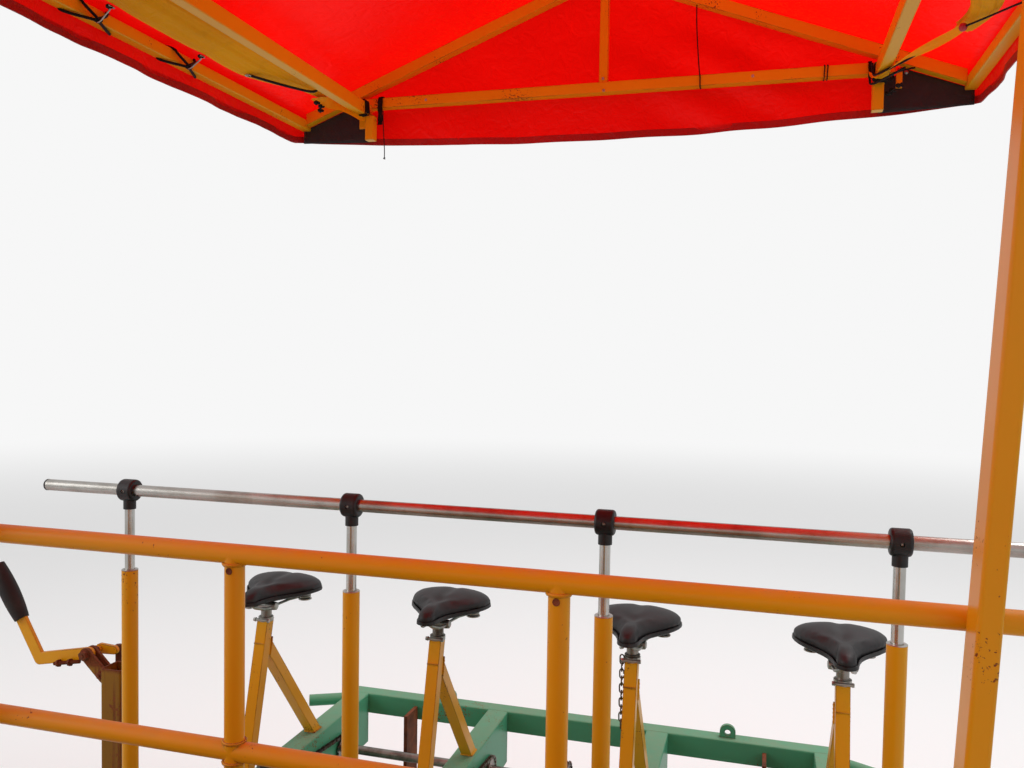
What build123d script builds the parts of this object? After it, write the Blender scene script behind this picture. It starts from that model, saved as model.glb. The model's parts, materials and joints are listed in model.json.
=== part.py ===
from build123d import *
from collections import namedtuple
from math import acos, atan, cos, degrees, radians, sin, sqrt, tan
import os

# Rail trolley with four pedal places at each end and a bench compartment between.
# Y runs along the track, X to the right, Z up; the flange tips of the wheels stand at Z = 0.
os.makedirs("parts", exist_ok=True)

ENDS = (1, -1)
SIDES = (1, -1)
names = {1: "front", -1: "rear"}
gap = 0.3
running = 0.5
pin_play = 5

# wheels and axles
tread_r = 150
flange_h = 27
flange_r = tread_r + flange_h
axle_z = flange_r
axle_y = 1850
axle_r = 20
back_to_back = 1360
flange_w = 28
tread_w = 82
wheel_hub_r = 48
hub_len = 75
hub_back = 4
web_from = 38
wheel_web = 16
rim_t = 26

# base frame
sill_top = 514
sill_h = 150
sill_w = 60
sill_mid_z = sill_top - sill_h / 2
beam_h = 60
beam_w = 50
beam_y = 2155
cross_y = 785

# the four places of an end from left to right: the sill, and the offsets of stem and bar post
Place = namedtuple("Place", "sill stem_off bar_off")
place_table = (
    Place(-685, -3, -9),
    Place(-245, 7, 20),
    Place(215, -2, 14),
    Place(655, -13, 18),
)
sill_xs = [place.sill for place in place_table]
stem_xs = [place.sill + place.stem_off for place in place_table]
bar_xs = [place.sill + place.bar_off for place in place_table]
frame_left = sill_xs[0] - sill_w / 2
frame_right = sill_xs[-1] + sill_w / 2
frame_mid = (frame_left + frame_right) / 2

# pedal drive
bb_y = 1510
bb_z = 426
crank_len = 160
crank_face = 46
crank_t = 14
spindle_r = 10
shell_r = 23
bush_r = 18
chain_x = 37
chain_pitch = 12.7
wheel_teeth = 38
wheel_teeth_r = 76
wheel_t = 4
pedal_w = 88
pedal_l = 74
pedal_t = 26
lay_y = 1950
lay_r = 12
lay_teeth = 16
lay_sprocket_r = 32
final_teeth = 22
final_sprocket_r = 45
final_t = 6
tooth_h = 4
chain_w = 7
final_chain_w = 10
chain_t = 9

# canopy posts and guard rails
post_x_foot = 667
post_x_top = 748
post_w = 25
post_d = 50
post_y = 760
rail_r = 14
rail_y = post_y + post_d / 2 + rail_r
rail_top_z = 1257.4
rail_low_z = 977.9
rail_half = 800
baluster_x = 232

# handlebars
bar_y = 1144
bar_z = 1271.6
bar_r = 11
bar_half = 885
bar_tube_r = 15
bar_tube_top = 1118
riser_r = 9

# saddles
stem_w = 28
stem_lean = 13.5
stem_top_z = 890
stem_foot_y = 1522
brace_foot_y = 1850
brace_drop = 54
saddle_top = 978
saddle_h = 62
saddle_len = 250
saddle_w = 212

# roof
roof_beam_x = 746
roof_beam_w = 30
roof_beam_h = 40
roof_beam_z = 2282
truss_y = 2290
truss_w = 30
tie_z = roof_beam_z + 30
tie_lap = 4
apex_z = 2659
rafter_t = 32
king_w = 24
eave_w = 30
eave_x = 990
eave_top = 2291
tarp_t = 3
hem_side_z = eave_top - 78
hem_corner_z = eave_top - 65
hem_mid_z = eave_top - 105
roof_slope = (apex_z - eave_top) / (eave_x - eave_w)
steep = sqrt(1 + roof_slope**2)
rafter_half = rafter_t / 2 * steep
tie_half = (apex_z - rafter_half - tie_z - truss_w) / roof_slope + tie_lap

# brake
brake_x = 832
brake_y = 1275
brake_w = 50
brake_wall = 3
brake_top = 869
pivot_x = 908
pivot_z = 888
pin_r = 6

# base frame: four deep sills with bores for the pedal shells and the cross shaft bushes
edge_r = 4
sill_end = beam_y - beam_w / 2
with BuildPart() as frame_sills:
    with Locations([(x, 0, sill_mid_z) for x in sill_xs]):
        Box(sill_w, 2 * sill_end, sill_h)
    fillet(frame_sills.edges().filter_by(Axis.Y), edge_r)
    for end in ENDS:
        with Locations([(x, end * bb_y, bb_z) for x in sill_xs]):
            Cylinder(shell_r, sill_w + 2, rotation=(0, 90, 0), mode=Mode.SUBTRACT)
        with Locations([(x, end * lay_y, bb_z) for x in sill_xs]):
            Cylinder(bush_r, sill_w + 2, rotation=(0, 90, 0), mode=Mode.SUBTRACT)
frame_sills.part.label = "frame_sills"
export_step(frame_sills.part, "parts/frame_sills.step")

# end beams with swept corner tubes, spacers between the sills, axle beams and brake outriggers
cross_z = sill_top - beam_h / 2
corner_tube_r = 17
corner_wall = 3
corner_reach = 120
corner_sweep = 61
corner_root = 30
axle_beam_w = 60
axle_beam_z = sill_top - sill_h - axle_beam_w / 2
axle_beam_out = back_to_back / 2 - 12
bays = [(a + sill_w / 2, b - sill_w / 2) for a, b in zip(sill_xs, sill_xs[1:])]
spacers = [(bay, y) for y in (cross_y, 0, -cross_y) for bay in bays]
spacers += [(bay, end * bar_y) for end in ENDS for bay in (bays[0], bays[-1])]
with BuildPart() as frame_cross_beams:
    for (x_from, x_to), y in spacers:
        with Locations(((x_from + x_to) / 2, y, cross_z)):
            Box(x_to - x_from, beam_w, beam_h)
    for end in ENDS:
        with Locations((frame_mid, end * beam_y, cross_z)):
            Box(frame_right - frame_left, beam_w, beam_h)
        for x_from, x_to in (
            (-axle_beam_out, sill_xs[1] + sill_w / 2),
            (sill_xs[2] - sill_w / 2, axle_beam_out),
        ):
            with Locations(((x_from + x_to) / 2, end * axle_y, axle_beam_z)):
                Box(x_to - x_from, axle_beam_w, axle_beam_w)
        side = -end
        face = frame_right if side == 1 else frame_left
        out = side * (brake_x + brake_w / 2)
        with Locations(((face + out) / 2, end * brake_y, cross_z)):
            Box(abs(out - face), brake_w, beam_h)
    fillet(frame_cross_beams.edges().filter_by(Axis.X), edge_r)
    for end in ENDS:
        for side, face in ((1, frame_right), (-1, frame_left)):
            reach = Vector(side * corner_reach, -end * corner_sweep, 0)
            corner = Plane(origin=(face, end * beam_y, cross_z), x_dir=(0, 0, 1), z_dir=reach)
            with BuildSketch(corner.offset(-corner_root)):
                Circle(corner_tube_r)
            extrude(amount=corner_root + reach.length)
            with BuildSketch(corner.offset(corner_root)):
                Circle(corner_tube_r - corner_wall)
            extrude(amount=reach.length, mode=Mode.SUBTRACT)
frame_cross_beams.part.label = "frame_cross_beams"
export_step(frame_cross_beams.part, "parts/frame_cross_beams.step")

# coupling lugs on the end beams
lug_x = 403
lug_h = 35
lug_r = 21
lug_t = 12
lug_bore_r = 8
with BuildPart() as coupling_lugs:
    for end in ENDS:
        for side in SIDES:
            lug_plane = Plane(
                origin=(side * lug_x, end * beam_y + lug_t / 2, sill_top),
                x_dir=(1, 0, 0),
                z_dir=(0, -1, 0),
            )
            with BuildSketch(lug_plane):
                with Locations((0, lug_h - lug_r)):
                    Circle(lug_r)
                Rectangle(2 * lug_r, lug_h - lug_r, align=(Align.CENTER, Align.MIN))
                with Locations((0, lug_h - lug_r)):
                    Circle(lug_bore_r, mode=Mode.SUBTRACT)
                Rectangle(2 * lug_r, lug_r, align=(Align.CENTER, Align.MAX), mode=Mode.SUBTRACT)
            extrude(amount=lug_t)
coupling_lugs.part.label = "coupling_lugs"
export_step(coupling_lugs.part, "parts/coupling_lugs.step")

# floor boards between the guard rails
board_t = 28
board_gap = 6
board_count = 10
board_edge = 2
floor_half_y = post_y - post_d / 2 - 2
board_w = (frame_right - frame_left + board_gap) / board_count - board_gap
with BuildPart() as floor_boards:
    for i in range(board_count):
        x = frame_left + board_w / 2 + i * (board_w + board_gap)
        with Locations((x, 0, sill_top + board_t / 2)):
            Box(board_w, 2 * floor_half_y, board_t)
    fillet(floor_boards.edges().group_by(Axis.Z)[-1].filter_by(Axis.Y), board_edge)
floor_boards.part.label = "floor_boards"
export_step(floor_boards.part, "parts/floor_boards.step")

# two benches with their backs to the guard rails
floor_top = sill_top + board_t
seat_top = 930
slat_t = 28
slat_w = 92
slat_gap = 12
slat_count = 4
slat_half = 640
slat_edge = 5
leg_x = 540
leg_w = 40
leg_inset = 40
seat_back_y = 728
seat_front_y = seat_back_y - slat_count * slat_w - (slat_count - 1) * slat_gap
leg_top = seat_top - slat_t
with BuildPart() as bench_frames:
    for end in ENDS:
        for side in SIDES:
            for y in (seat_front_y + leg_inset, seat_back_y - leg_inset):
                with Locations((side * leg_x, end * y, (floor_top + leg_top) / 2)):
                    Box(leg_w, leg_w, leg_top - floor_top)
            with Locations((side * leg_x, end * (seat_front_y + seat_back_y) / 2, leg_top - leg_w / 2)):
                Box(leg_w, seat_back_y - seat_front_y - 2 * leg_inset, leg_w)
        with Locations((0, end * (seat_front_y + seat_back_y) / 2, leg_top - leg_w / 2)):
            Box(2 * leg_x, leg_w, leg_w)
bench_frames.part.label = "bench_frames"
export_step(bench_frames.part, "parts/bench_frames.step")

with BuildPart() as bench_slats:
    for end in ENDS:
        for i in range(slat_count):
            y = seat_front_y + slat_w / 2 + i * (slat_w + slat_gap)
            with Locations((0, end * y, seat_top - slat_t / 2)):
                Box(2 * slat_half, slat_w, slat_t)
    fillet(bench_slats.edges().group_by(Axis.Z)[-1].filter_by(Axis.X), slat_edge)
bench_slats.part.label = "bench_slats"
export_step(bench_slats.part, "parts/bench_slats.step")

# four canopy posts, splayed outwards, cut level at foot and head
with BuildPart() as canopy_posts:
    for end in ENDS:
        for side in SIDES:
            face = Plane(
                origin=(0, end * post_y + post_d / 2, 0), x_dir=(1, 0, 0), z_dir=(0, -1, 0)
            )
            with BuildSketch(face):
                Polygon(
                    (side * (post_x_foot - post_w / 2), sill_top),
                    (side * (post_x_foot + post_w / 2), sill_top),
                    (side * (post_x_top + post_w / 2), roof_beam_z),
                    (side * (post_x_top - post_w / 2), roof_beam_z),
                    align=None,
                )
            extrude(amount=post_d)
    fillet(canopy_posts.edges().filter_by(lambda edge: edge.length > post_d + 1), edge_r)
canopy_posts.part.label = "canopy_posts"
export_step(canopy_posts.part, "parts/canopy_posts.step")

# guard rails: two round rails on uprights, at both ends of the compartment
with BuildPart() as guard_rails:
    for end in ENDS:
        for z in (rail_top_z, rail_low_z):
            with Locations((0, end * rail_y, z)):
                Cylinder(rail_r, 2 * rail_half, rotation=(0, 90, 0))
        for side in SIDES:
            with Locations((side * baluster_x, end * rail_y, (sill_top + rail_top_z) / 2)):
                Cylinder(rail_r, rail_top_z - sill_top)
guard_rails.part.label = "guard_rails"
export_step(guard_rails.part, "parts/guard_rails.step")

# handlebars: outer tubes, steel risers, clamps and the long bars
riser_in = 60
riser_seat = bar_r + 4
with BuildPart() as handlebar_tubes:
    for end in ENDS:
        for x in bar_xs:
            with Locations((x, end * bar_y, (sill_top + bar_tube_top) / 2)):
                Cylinder(bar_tube_r, bar_tube_top - sill_top)
            with Locations((x, end * bar_y, bar_tube_top - riser_in / 2)):
                Cylinder(riser_r + gap, riser_in, mode=Mode.SUBTRACT)
handlebar_tubes.part.label = "handlebar_tubes"
export_step(handlebar_tubes.part, "parts/handlebar_tubes.step")

riser_foot = bar_tube_top - riser_in
riser_top = bar_z - riser_seat
with BuildPart() as handlebar_risers:
    for end in ENDS:
        with Locations([(x, end * bar_y, (riser_foot + riser_top) / 2) for x in bar_xs]):
            Cylinder(riser_r, riser_top - riser_foot)
handlebar_risers.part.label = "handlebar_risers"
export_step(handlebar_risers.part, "parts/handlebar_risers.step")

# moulded tee clamps: a rounded housing round the bar, a socket for the riser and a screw hole
clamp_r = 21
clamp_len = 32
clamp_edge = 5
socket_r = riser_r + 2.5
socket_drop = 36
screw_r = 3.5
with BuildPart() as handlebar_clamps:
    for end in ENDS:
        with Locations([(x, end * bar_y, bar_z) for x in bar_xs]):
            Cylinder(clamp_r, clamp_len, rotation=(0, 90, 0))
    fillet(handlebar_clamps.edges().filter_by(GeomType.CIRCLE), clamp_edge)
    for end in ENDS:
        for x in bar_xs:
            with Locations((x, end * bar_y, bar_z - socket_drop / 2)):
                Cylinder(socket_r, socket_drop)
            with Locations((x, end * bar_y, bar_z)):
                Cylinder(bar_r, clamp_len + 2, rotation=(0, 90, 0), mode=Mode.SUBTRACT)
            with Locations((x, end * bar_y, bar_z - riser_seat - socket_drop / 2)):
                Cylinder(riser_r, socket_drop, mode=Mode.SUBTRACT)
            with Locations((x, end * (bar_y - clamp_r / 2 - bar_r / 2), bar_z)):
                Cylinder(screw_r, clamp_r, rotation=(90, 0, 0), mode=Mode.SUBTRACT)
handlebar_clamps.part.label = "handlebar_clamps"
export_step(handlebar_clamps.part, "parts/handlebar_clamps.step")

with BuildPart() as handlebar_bars:
    for end in ENDS:
        with Locations((0, end * bar_y, bar_z)):
            Cylinder(bar_r, 2 * bar_half, rotation=(0, 90, 0))
handlebar_bars.part.label = "handlebar_bars"
export_step(handlebar_bars.part, "parts/handlebar_bars.step")

# saddles on leaning stems with a brace behind each
lean = tan(radians(stem_lean))
stem_top_y = stem_foot_y + (stem_top_z - sill_top) * lean
brace_z = stem_top_z - brace_drop
brace_y = stem_foot_y + (brace_z - sill_top) * lean
half = stem_w / 2 / cos(radians(stem_lean))
brace_run = (brace_foot_y - brace_y) / (brace_z - sill_top)
brace_half = stem_w / 2 * sqrt(1 + brace_run**2)
with BuildPart() as saddle_stems:
    for end in ENDS:
        for x in stem_xs:
            side_face = Plane(origin=(x - stem_w / 2, 0, 0), x_dir=(0, 1, 0), z_dir=(1, 0, 0))
            with BuildSketch(side_face):
                Polygon(
                    (end * (stem_foot_y - half), sill_top),
                    (end * (stem_foot_y + half), sill_top),
                    (end * (stem_top_y + half), stem_top_z),
                    (end * (stem_top_y - half), stem_top_z),
                    align=None,
                )
                Polygon(
                    (end * (brace_foot_y - brace_half), sill_top),
                    (end * (brace_foot_y + brace_half), sill_top),
                    (end * (brace_y + brace_half), brace_z),
                    (end * (brace_y - brace_half), brace_z),
                    align=None,
                )
            extrude(amount=stem_w)
saddle_stems.part.label = "saddle_stems"
export_step(saddle_stems.part, "parts/saddle_stems.step")

seat_post_r = 13
saddle_base = saddle_top - saddle_h
seat_y = stem_top_y + (saddle_base - stem_top_z) / 2 * lean
with BuildPart() as seat_posts:
    for end in ENDS:
        with Locations([(x, end * seat_y, (stem_top_z + saddle_base) / 2) for x in stem_xs]):
            Cylinder(seat_post_r, saddle_base - stem_top_z)
seat_posts.part.label = "seat_posts"
export_step(seat_posts.part, "parts/seat_posts.step")

saddle_nose_r = 24
saddle_edge = 18
saddle_under = 8
saddle_rear_y = seat_y + 45
saddle_nose_y = saddle_rear_y + saddle_w / 2 - saddle_len + saddle_nose_r
with BuildPart() as saddles:
    for end in ENDS:
        for x in stem_xs:
            with BuildSketch(Plane.XY.offset(saddle_base)):
                with BuildLine():
                    rear = CenterArc((x, end * saddle_rear_y), saddle_w / 2, 0, end * 180)
                    nose = CenterArc((x, end * saddle_nose_y), saddle_nose_r, 0, -end * 180)
                    Line(rear @ 0, nose @ 0)
                    Line(rear @ 1, nose @ 1)
                make_face()
            extrude(amount=saddle_h)
    fillet(saddles.edges().group_by(Axis.Z)[-1], saddle_edge)
    fillet(saddles.edges().group_by(Axis.Z)[0], saddle_under)
saddles.part.label = "saddles"
export_step(saddles.part, "parts/saddles.step")

# bearings in the sills: the pedal shells and the bushes of the cross shafts
with BuildPart() as drive_bearings:
    for end in ENDS:
        for x in sill_xs:
            with Locations((x, end * bb_y, bb_z)):
                Cylinder(shell_r, sill_w, rotation=(0, 90, 0))
                Cylinder(spindle_r + running, sill_w + 2, rotation=(0, 90, 0), mode=Mode.SUBTRACT)
            with Locations((x, end * lay_y, bb_z)):
                Cylinder(bush_r, sill_w, rotation=(0, 90, 0))
                Cylinder(lay_r + running, sill_w + 2, rotation=(0, 90, 0), mode=Mode.SUBTRACT)
drive_bearings.part.label = "drive_bearings"
export_step(drive_bearings.part, "parts/drive_bearings.step")


def toothed_disc(teeth, tip_r):
    """Disc with tapered teeth on the chain pitch, drawn in the sketch that is open."""
    root_r = tip_r - tooth_h
    foot = chain_pitch * 0.31
    crest = chain_pitch * 0.13
    Circle(root_r)
    with PolarLocations(root_r, teeth):
        Polygon((-1, -foot), (tooth_h, -crest), (tooth_h, crest), (-1, foot), align=None)


# chainwheel with a five-armed spider, and the sprockets of shafts and axles
spider_arms = 5
spider_hub_r = 27
spider_ring_r = 58
spider_arm_w = 15
with BuildPart() as chainwheel:
    with BuildSketch(Plane.YZ.offset(-wheel_t / 2)):
        toothed_disc(wheel_teeth, wheel_teeth_r)
        Circle(spider_ring_r, mode=Mode.SUBTRACT)
        Circle(spider_hub_r)
        with PolarLocations((spider_hub_r + spider_ring_r) / 2, spider_arms):
            Rectangle(spider_ring_r - spider_hub_r + 6, spider_arm_w)
    extrude(amount=wheel_t)
with BuildPart() as lay_sprocket:
    with BuildSketch(Plane.YZ.offset(-wheel_t / 2)):
        toothed_disc(lay_teeth, lay_sprocket_r)
    extrude(amount=wheel_t)
with BuildPart() as final_sprocket:
    with BuildSketch(Plane.YZ.offset(-final_t / 2)):
        toothed_disc(final_teeth, final_sprocket_r)
    extrude(amount=final_t)

# cranksets: the arms of neighbours stand a quarter turn apart
Crank = namedtuple("Crank", "x angle")
crank_table = (
    Crank(sill_xs[0], 90),
    Crank(sill_xs[1], 0),
    Crank(sill_xs[2], 90),
    Crank(sill_xs[3], 0),
)
arm_hub_r = 19
arm_tip_r = 12
pedal_stub = 6
pedal_stub_r = 8
pedal_edge = 8
pedal_core = 22
pedal_rim = 7
shaft_from = sill_xs[0] - sill_w / 2 - 10
shaft_to = sill_xs[-1] + chain_x + 12
for end in ENDS:
    with BuildPart() as cranks:
        for crank in crank_table:
            with Locations((crank.x, end * bb_y, bb_z)):
                Cylinder(spindle_r, 2 * crank_face, rotation=(0, 90, 0))
            with Locations((crank.x + chain_x, end * bb_y, bb_z)):
                add(chainwheel.part)
            for side in SIDES:
                arm_from = crank.x + side * (crank_face + crank_t / 2) - crank_t / 2
                tip = (
                    end * (bb_y - side * crank_len * cos(radians(crank.angle))),
                    bb_z + side * crank_len * sin(radians(crank.angle)),
                )
                arm_face = Plane(origin=(arm_from, 0, 0), x_dir=(0, 1, 0), z_dir=(1, 0, 0))
                with BuildSketch(arm_face):
                    with Locations((end * bb_y, bb_z)):
                        Circle(arm_hub_r)
                    with Locations(tip):
                        Circle(arm_tip_r)
                    make_hull()
                extrude(amount=crank_t)
    cranks.part.label = "cranks_" + names[end]
    export_step(cranks.part, "parts/cranks_" + names[end] + ".step")

    with BuildPart() as pedals:
        for crank in crank_table:
            for side in SIDES:
                tip_y = end * (bb_y - side * crank_len * cos(radians(crank.angle)))
                tip_z = bb_z + side * crank_len * sin(radians(crank.angle))
                stub_x = crank.x + side * (crank_face + crank_t + (pedal_stub + 1) / 2)
                cage_x = crank.x + side * (crank_face + crank_t + pedal_stub + pedal_w / 2)
                with BuildSketch(Plane(origin=(cage_x, tip_y, tip_z - pedal_t / 2))):
                    RectangleRounded(pedal_w, pedal_l, pedal_edge)
                    for hand in SIDES:
                        window = pedal_l / 2 - pedal_core / 2 - pedal_rim
                        with Locations((0, hand * (pedal_core / 2 + window / 2))):
                            RectangleRounded(pedal_w - 2 * pedal_rim, window, 3, mode=Mode.SUBTRACT)
                extrude(amount=pedal_t)
                with Locations((stub_x, tip_y, tip_z)):
                    Cylinder(pedal_stub_r, pedal_stub + 1, rotation=(0, 90, 0))
    pedals.part.label = "pedals_" + names[end]
    export_step(pedals.part, "parts/pedals_" + names[end] + ".step")

    with BuildPart() as cross_shaft:
        with Locations(((shaft_from + shaft_to) / 2, end * lay_y, bb_z)):
            Cylinder(lay_r, shaft_to - shaft_from, rotation=(0, 90, 0))
        with Locations((0, end * lay_y, bb_z)):
            add(final_sprocket.part)
        for x in sill_xs:
            with Locations((x + chain_x, end * lay_y, bb_z)):
                add(lay_sprocket.part)
    cross_shaft.part.label = "cross_shaft_" + names[end]
    export_step(cross_shaft.part, "parts/cross_shaft_" + names[end] + ".step")

    with BuildPart() as axle:
        with Locations((0, end * axle_y, axle_z)):
            Cylinder(axle_r, back_to_back + 2 * hub_len, rotation=(0, 90, 0))
            add(final_sprocket.part)
    axle.part.label = "axle_" + names[end]
    export_step(axle.part, "parts/axle_" + names[end] + ".step")

    # flanged wheels: hub, web and tyre turned as one profile
    back = back_to_back / 2
    tyre_under = tread_r - rim_t
    with BuildPart() as wheels:
        for side in SIDES:
            wheel_face = Plane(
                origin=(0, end * axle_y, axle_z), x_dir=(1, 0, 0), z_dir=(0, -1, 0)
            )
            with BuildSketch(wheel_face):
                Polygon(
                    (side * (back - hub_back), axle_r),
                    (side * (back - hub_back), wheel_hub_r),
                    (side * (back + web_from), wheel_hub_r),
                    (side * (back + web_from), tyre_under),
                    (side * back, tyre_under),
                    (side * back, flange_r - 6),
                    (side * (back + 6), flange_r),
                    (side * (back + 16), flange_r),
                    (side * (back + flange_w), tread_r + 2),
                    (side * (back + flange_w + tread_w), tread_r - 3),
                    (side * (back + flange_w + tread_w), tyre_under),
                    (side * (back + web_from + wheel_web), tyre_under),
                    (side * (back + web_from + wheel_web), wheel_hub_r),
                    (side * (back + hub_len), wheel_hub_r),
                    (side * (back + hub_len), axle_r),
                    align=None,
                )
            revolve(axis=Axis((0, end * axle_y, axle_z), (1, 0, 0)))
    wheels.part.label = "wheels_" + names[end]
    export_step(wheels.part, "parts/wheels_" + names[end] + ".step")

# axle bearings hung from the axle beams
bearing_x = 600
bearing_t = 40
bearing_w = 96
bearing_top = sill_top - sill_h - axle_beam_w
with BuildPart() as axle_bearings:
    for end in ENDS:
        for side in SIDES:
            plate = Plane(
                origin=(side * bearing_x - bearing_t / 2, end * axle_y, axle_z),
                x_dir=(0, 1, 0),
                z_dir=(1, 0, 0),
            )
            with BuildSketch(plate):
                Circle(bearing_w / 2)
                with Locations((0, (bearing_top - axle_z) / 2)):
                    Rectangle(bearing_w, bearing_top - axle_z)
                Circle(axle_r + running, mode=Mode.SUBTRACT)
            extrude(amount=bearing_t)
axle_bearings.part.label = "axle_bearings"
export_step(axle_bearings.part, "parts/axle_bearings.step")


def loop_points(r1, r2, p, q):
    """Tangent points of a belt round circle r1 at p and circle r2 at q, both sides."""
    dy = q[0] - p[0]
    dz = q[1] - p[1]
    dist = sqrt(dy * dy + dz * dz)
    ey, ez = dy / dist, dz / dist
    turn = acos((r1 - r2) / dist)
    pts = []
    for hand in (1, -1):
        ny = ey * cos(turn) - hand * ez * sin(turn)
        nz = ez * cos(turn) + hand * ey * sin(turn)
        pts.append(((p[0] + r1 * ny, p[1] + r1 * nz), (q[0] + r2 * ny, q[1] + r2 * nz)))
    back_p = (p[0] - r1 * ey, p[1] - r1 * ez)
    far_q = (q[0] + r2 * ey, q[1] + r2 * ez)
    return pts, back_p, far_q


# chains, each a smooth closed band just clear of the tooth tips
Loop = namedtuple("Loop", "x r1 r2 p q width")
primary = [
    Loop(x + chain_x, wheel_teeth_r, lay_sprocket_r, (end * bb_y, bb_z), (end * lay_y, bb_z), chain_w)
    for end in ENDS
    for x in sill_xs
]
final = [
    Loop(
        0, final_sprocket_r, final_sprocket_r,
        (end * lay_y, bb_z), (end * axle_y, axle_z), final_chain_w,
    )
    for end in ENDS
]
for label, table in (("pedal_chains", primary), ("axle_chains", final)):
    with BuildPart() as chains:
        for loop in table:
            plane = Plane(origin=(loop.x - loop.width / 2, 0, 0), x_dir=(0, 1, 0), z_dir=(1, 0, 0))
            for grow, mode in ((chain_t, Mode.ADD), (running, Mode.SUBTRACT)):
                pts, back_p, far_q = loop_points(loop.r1 + grow, loop.r2 + grow, loop.p, loop.q)
                with BuildSketch(plane):
                    with BuildLine():
                        Line(pts[0][0], pts[0][1])
                        ThreePointArc(pts[0][1], far_q, pts[1][1])
                        Line(pts[1][1], pts[1][0])
                        ThreePointArc(pts[1][0], back_p, pts[0][0])
                    make_face()
                extrude(amount=loop.width, mode=mode)
    chains.part.label = label
    export_step(chains.part, "parts/" + label + ".step")

# brake: hollow post with two cheek plates that carry the lever's pin
cheek_gap = 12
cheek_t = 6
cheek_r = 14
cheek_low_x = brake_x + brake_w / 2 + 4
cheek_low_z = brake_top - 24
hollow_h = 180
with BuildPart() as brake_posts:
    for end in ENDS:
        side = -end
        with Locations((side * brake_x, end * brake_y, (sill_top + brake_top) / 2)):
            Box(brake_w, brake_w, brake_top - sill_top)
    fillet(brake_posts.edges().filter_by(Axis.Z), edge_r)
    for end in ENDS:
        side = -end
        inner = brake_w - 2 * brake_wall
        with Locations((side * brake_x, end * brake_y, brake_top - hollow_h / 2 + 1)):
            Box(inner, inner, hollow_h, mode=Mode.SUBTRACT)
        for hand in SIDES:
            y = end * brake_y + hand * (cheek_gap + cheek_t) / 2
            cheek_plane = Plane(origin=(0, y + cheek_t / 2, 0), x_dir=(1, 0, 0), z_dir=(0, -1, 0))
            with BuildSketch(cheek_plane):
                with Locations((side * pivot_x, pivot_z)):
                    Circle(cheek_r)
                with Locations((side * cheek_low_x, cheek_low_z)):
                    Circle(cheek_r)
                make_hull()
                with Locations((side * pivot_x, pivot_z)):
                    Circle(pin_r + running, mode=Mode.SUBTRACT)
                with Locations((side * (brake_x + brake_w / 2 - cheek_r), cheek_low_z)):
                    Rectangle(2 * cheek_r, 4 * cheek_r, mode=Mode.SUBTRACT)
            extrude(amount=cheek_t)
brake_posts.part.label = "brake_posts"
export_step(brake_posts.part, "parts/brake_posts.step")

# brake lever: cranked flat bar on its pin, with a short arm behind the post for the rod
lever_t = 8
lever_w = 26
elbow = (1038, 863)
grip_from = (1087, 946)
grip_len = 125
grip_r = 18
grip_low_r = 15
grip_cap = 8
rod_arm = 36
rod_arm_t = 8
rod_arm_from = brake_w / 2 + 6
pin_near = cheek_gap / 2 + cheek_t + pin_play
step = Vector(grip_from[0] - elbow[0], grip_from[1] - elbow[1], 0).normalized()
grip_to = (grip_from[0] + step.X * grip_len, grip_from[1] + step.Y * grip_len)
for end in ENDS:
    side = -end
    lever_plane = Plane(
        origin=(0, end * brake_y + lever_t / 2, 0), x_dir=(1, 0, 0), z_dir=(0, -1, 0)
    )
    arm_mid_y = end * (brake_y + rod_arm_from + rod_arm_t / 2)
    arm_plane = Plane(origin=(0, arm_mid_y + rod_arm_t / 2, 0), x_dir=(1, 0, 0), z_dir=(0, -1, 0))
    with BuildPart() as brake_lever:
        with BuildSketch(lever_plane):
            for a, b in (((pivot_x, pivot_z), elbow), (elbow, grip_to)):
                mid_x = (a[0] + b[0]) / 2
                mid_z = (a[1] + b[1]) / 2
                run = sqrt((b[0] - a[0]) ** 2 + (b[1] - a[1]) ** 2)
                tilt = degrees(atan((b[1] - a[1]) / (b[0] - a[0])))
                with Locations((side * mid_x, mid_z)):
                    Rectangle(run, lever_w, rotation=side * tilt)
            with Locations((side * elbow[0], elbow[1])):
                Circle(lever_w / 2)
            with Locations((side * pivot_x, pivot_z)):
                Circle(lever_w / 2)
        extrude(amount=lever_t)
        with BuildSketch(arm_plane):
            with Locations((side * pivot_x, pivot_z)):
                Circle(pin_r + 5)
            with Locations((side * (pivot_x - rod_arm), pivot_z)):
                Circle(pin_r + 3)
            make_hull()
        extrude(amount=rod_arm_t)
        pin_to = rod_arm_from + rod_arm_t
        with Locations((side * pivot_x, end * (brake_y + (pin_to - pin_near) / 2), pivot_z)):
            Cylinder(pin_r, pin_to + pin_near, rotation=(90, 0, 0))
    brake_lever.part.label = "brake_lever_" + names[end]
    export_step(brake_lever.part, "parts/brake_lever_" + names[end] + ".step")

    lever_up = Vector(side * step.X, 0, step.Y)
    grip_plane = Plane(
        origin=(side * grip_from[0], end * brake_y, grip_from[1]), x_dir=(0, 1, 0), z_dir=lever_up
    )
    with BuildPart() as brake_grip:
        with BuildSketch(grip_plane):
            Circle(grip_low_r)
        with BuildSketch(grip_plane.offset(grip_len * 0.2)):
            Circle(grip_r)
        with BuildSketch(grip_plane.offset(grip_len + grip_cap)):
            Circle(grip_low_r)
        loft()
        with BuildSketch(grip_plane):
            Rectangle(lever_t, lever_w)
        extrude(amount=grip_len, mode=Mode.SUBTRACT)
    brake_grip.part.label = "brake_grip_" + names[end]
    export_step(brake_grip.part, "parts/brake_grip_" + names[end] + ".step")

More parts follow.
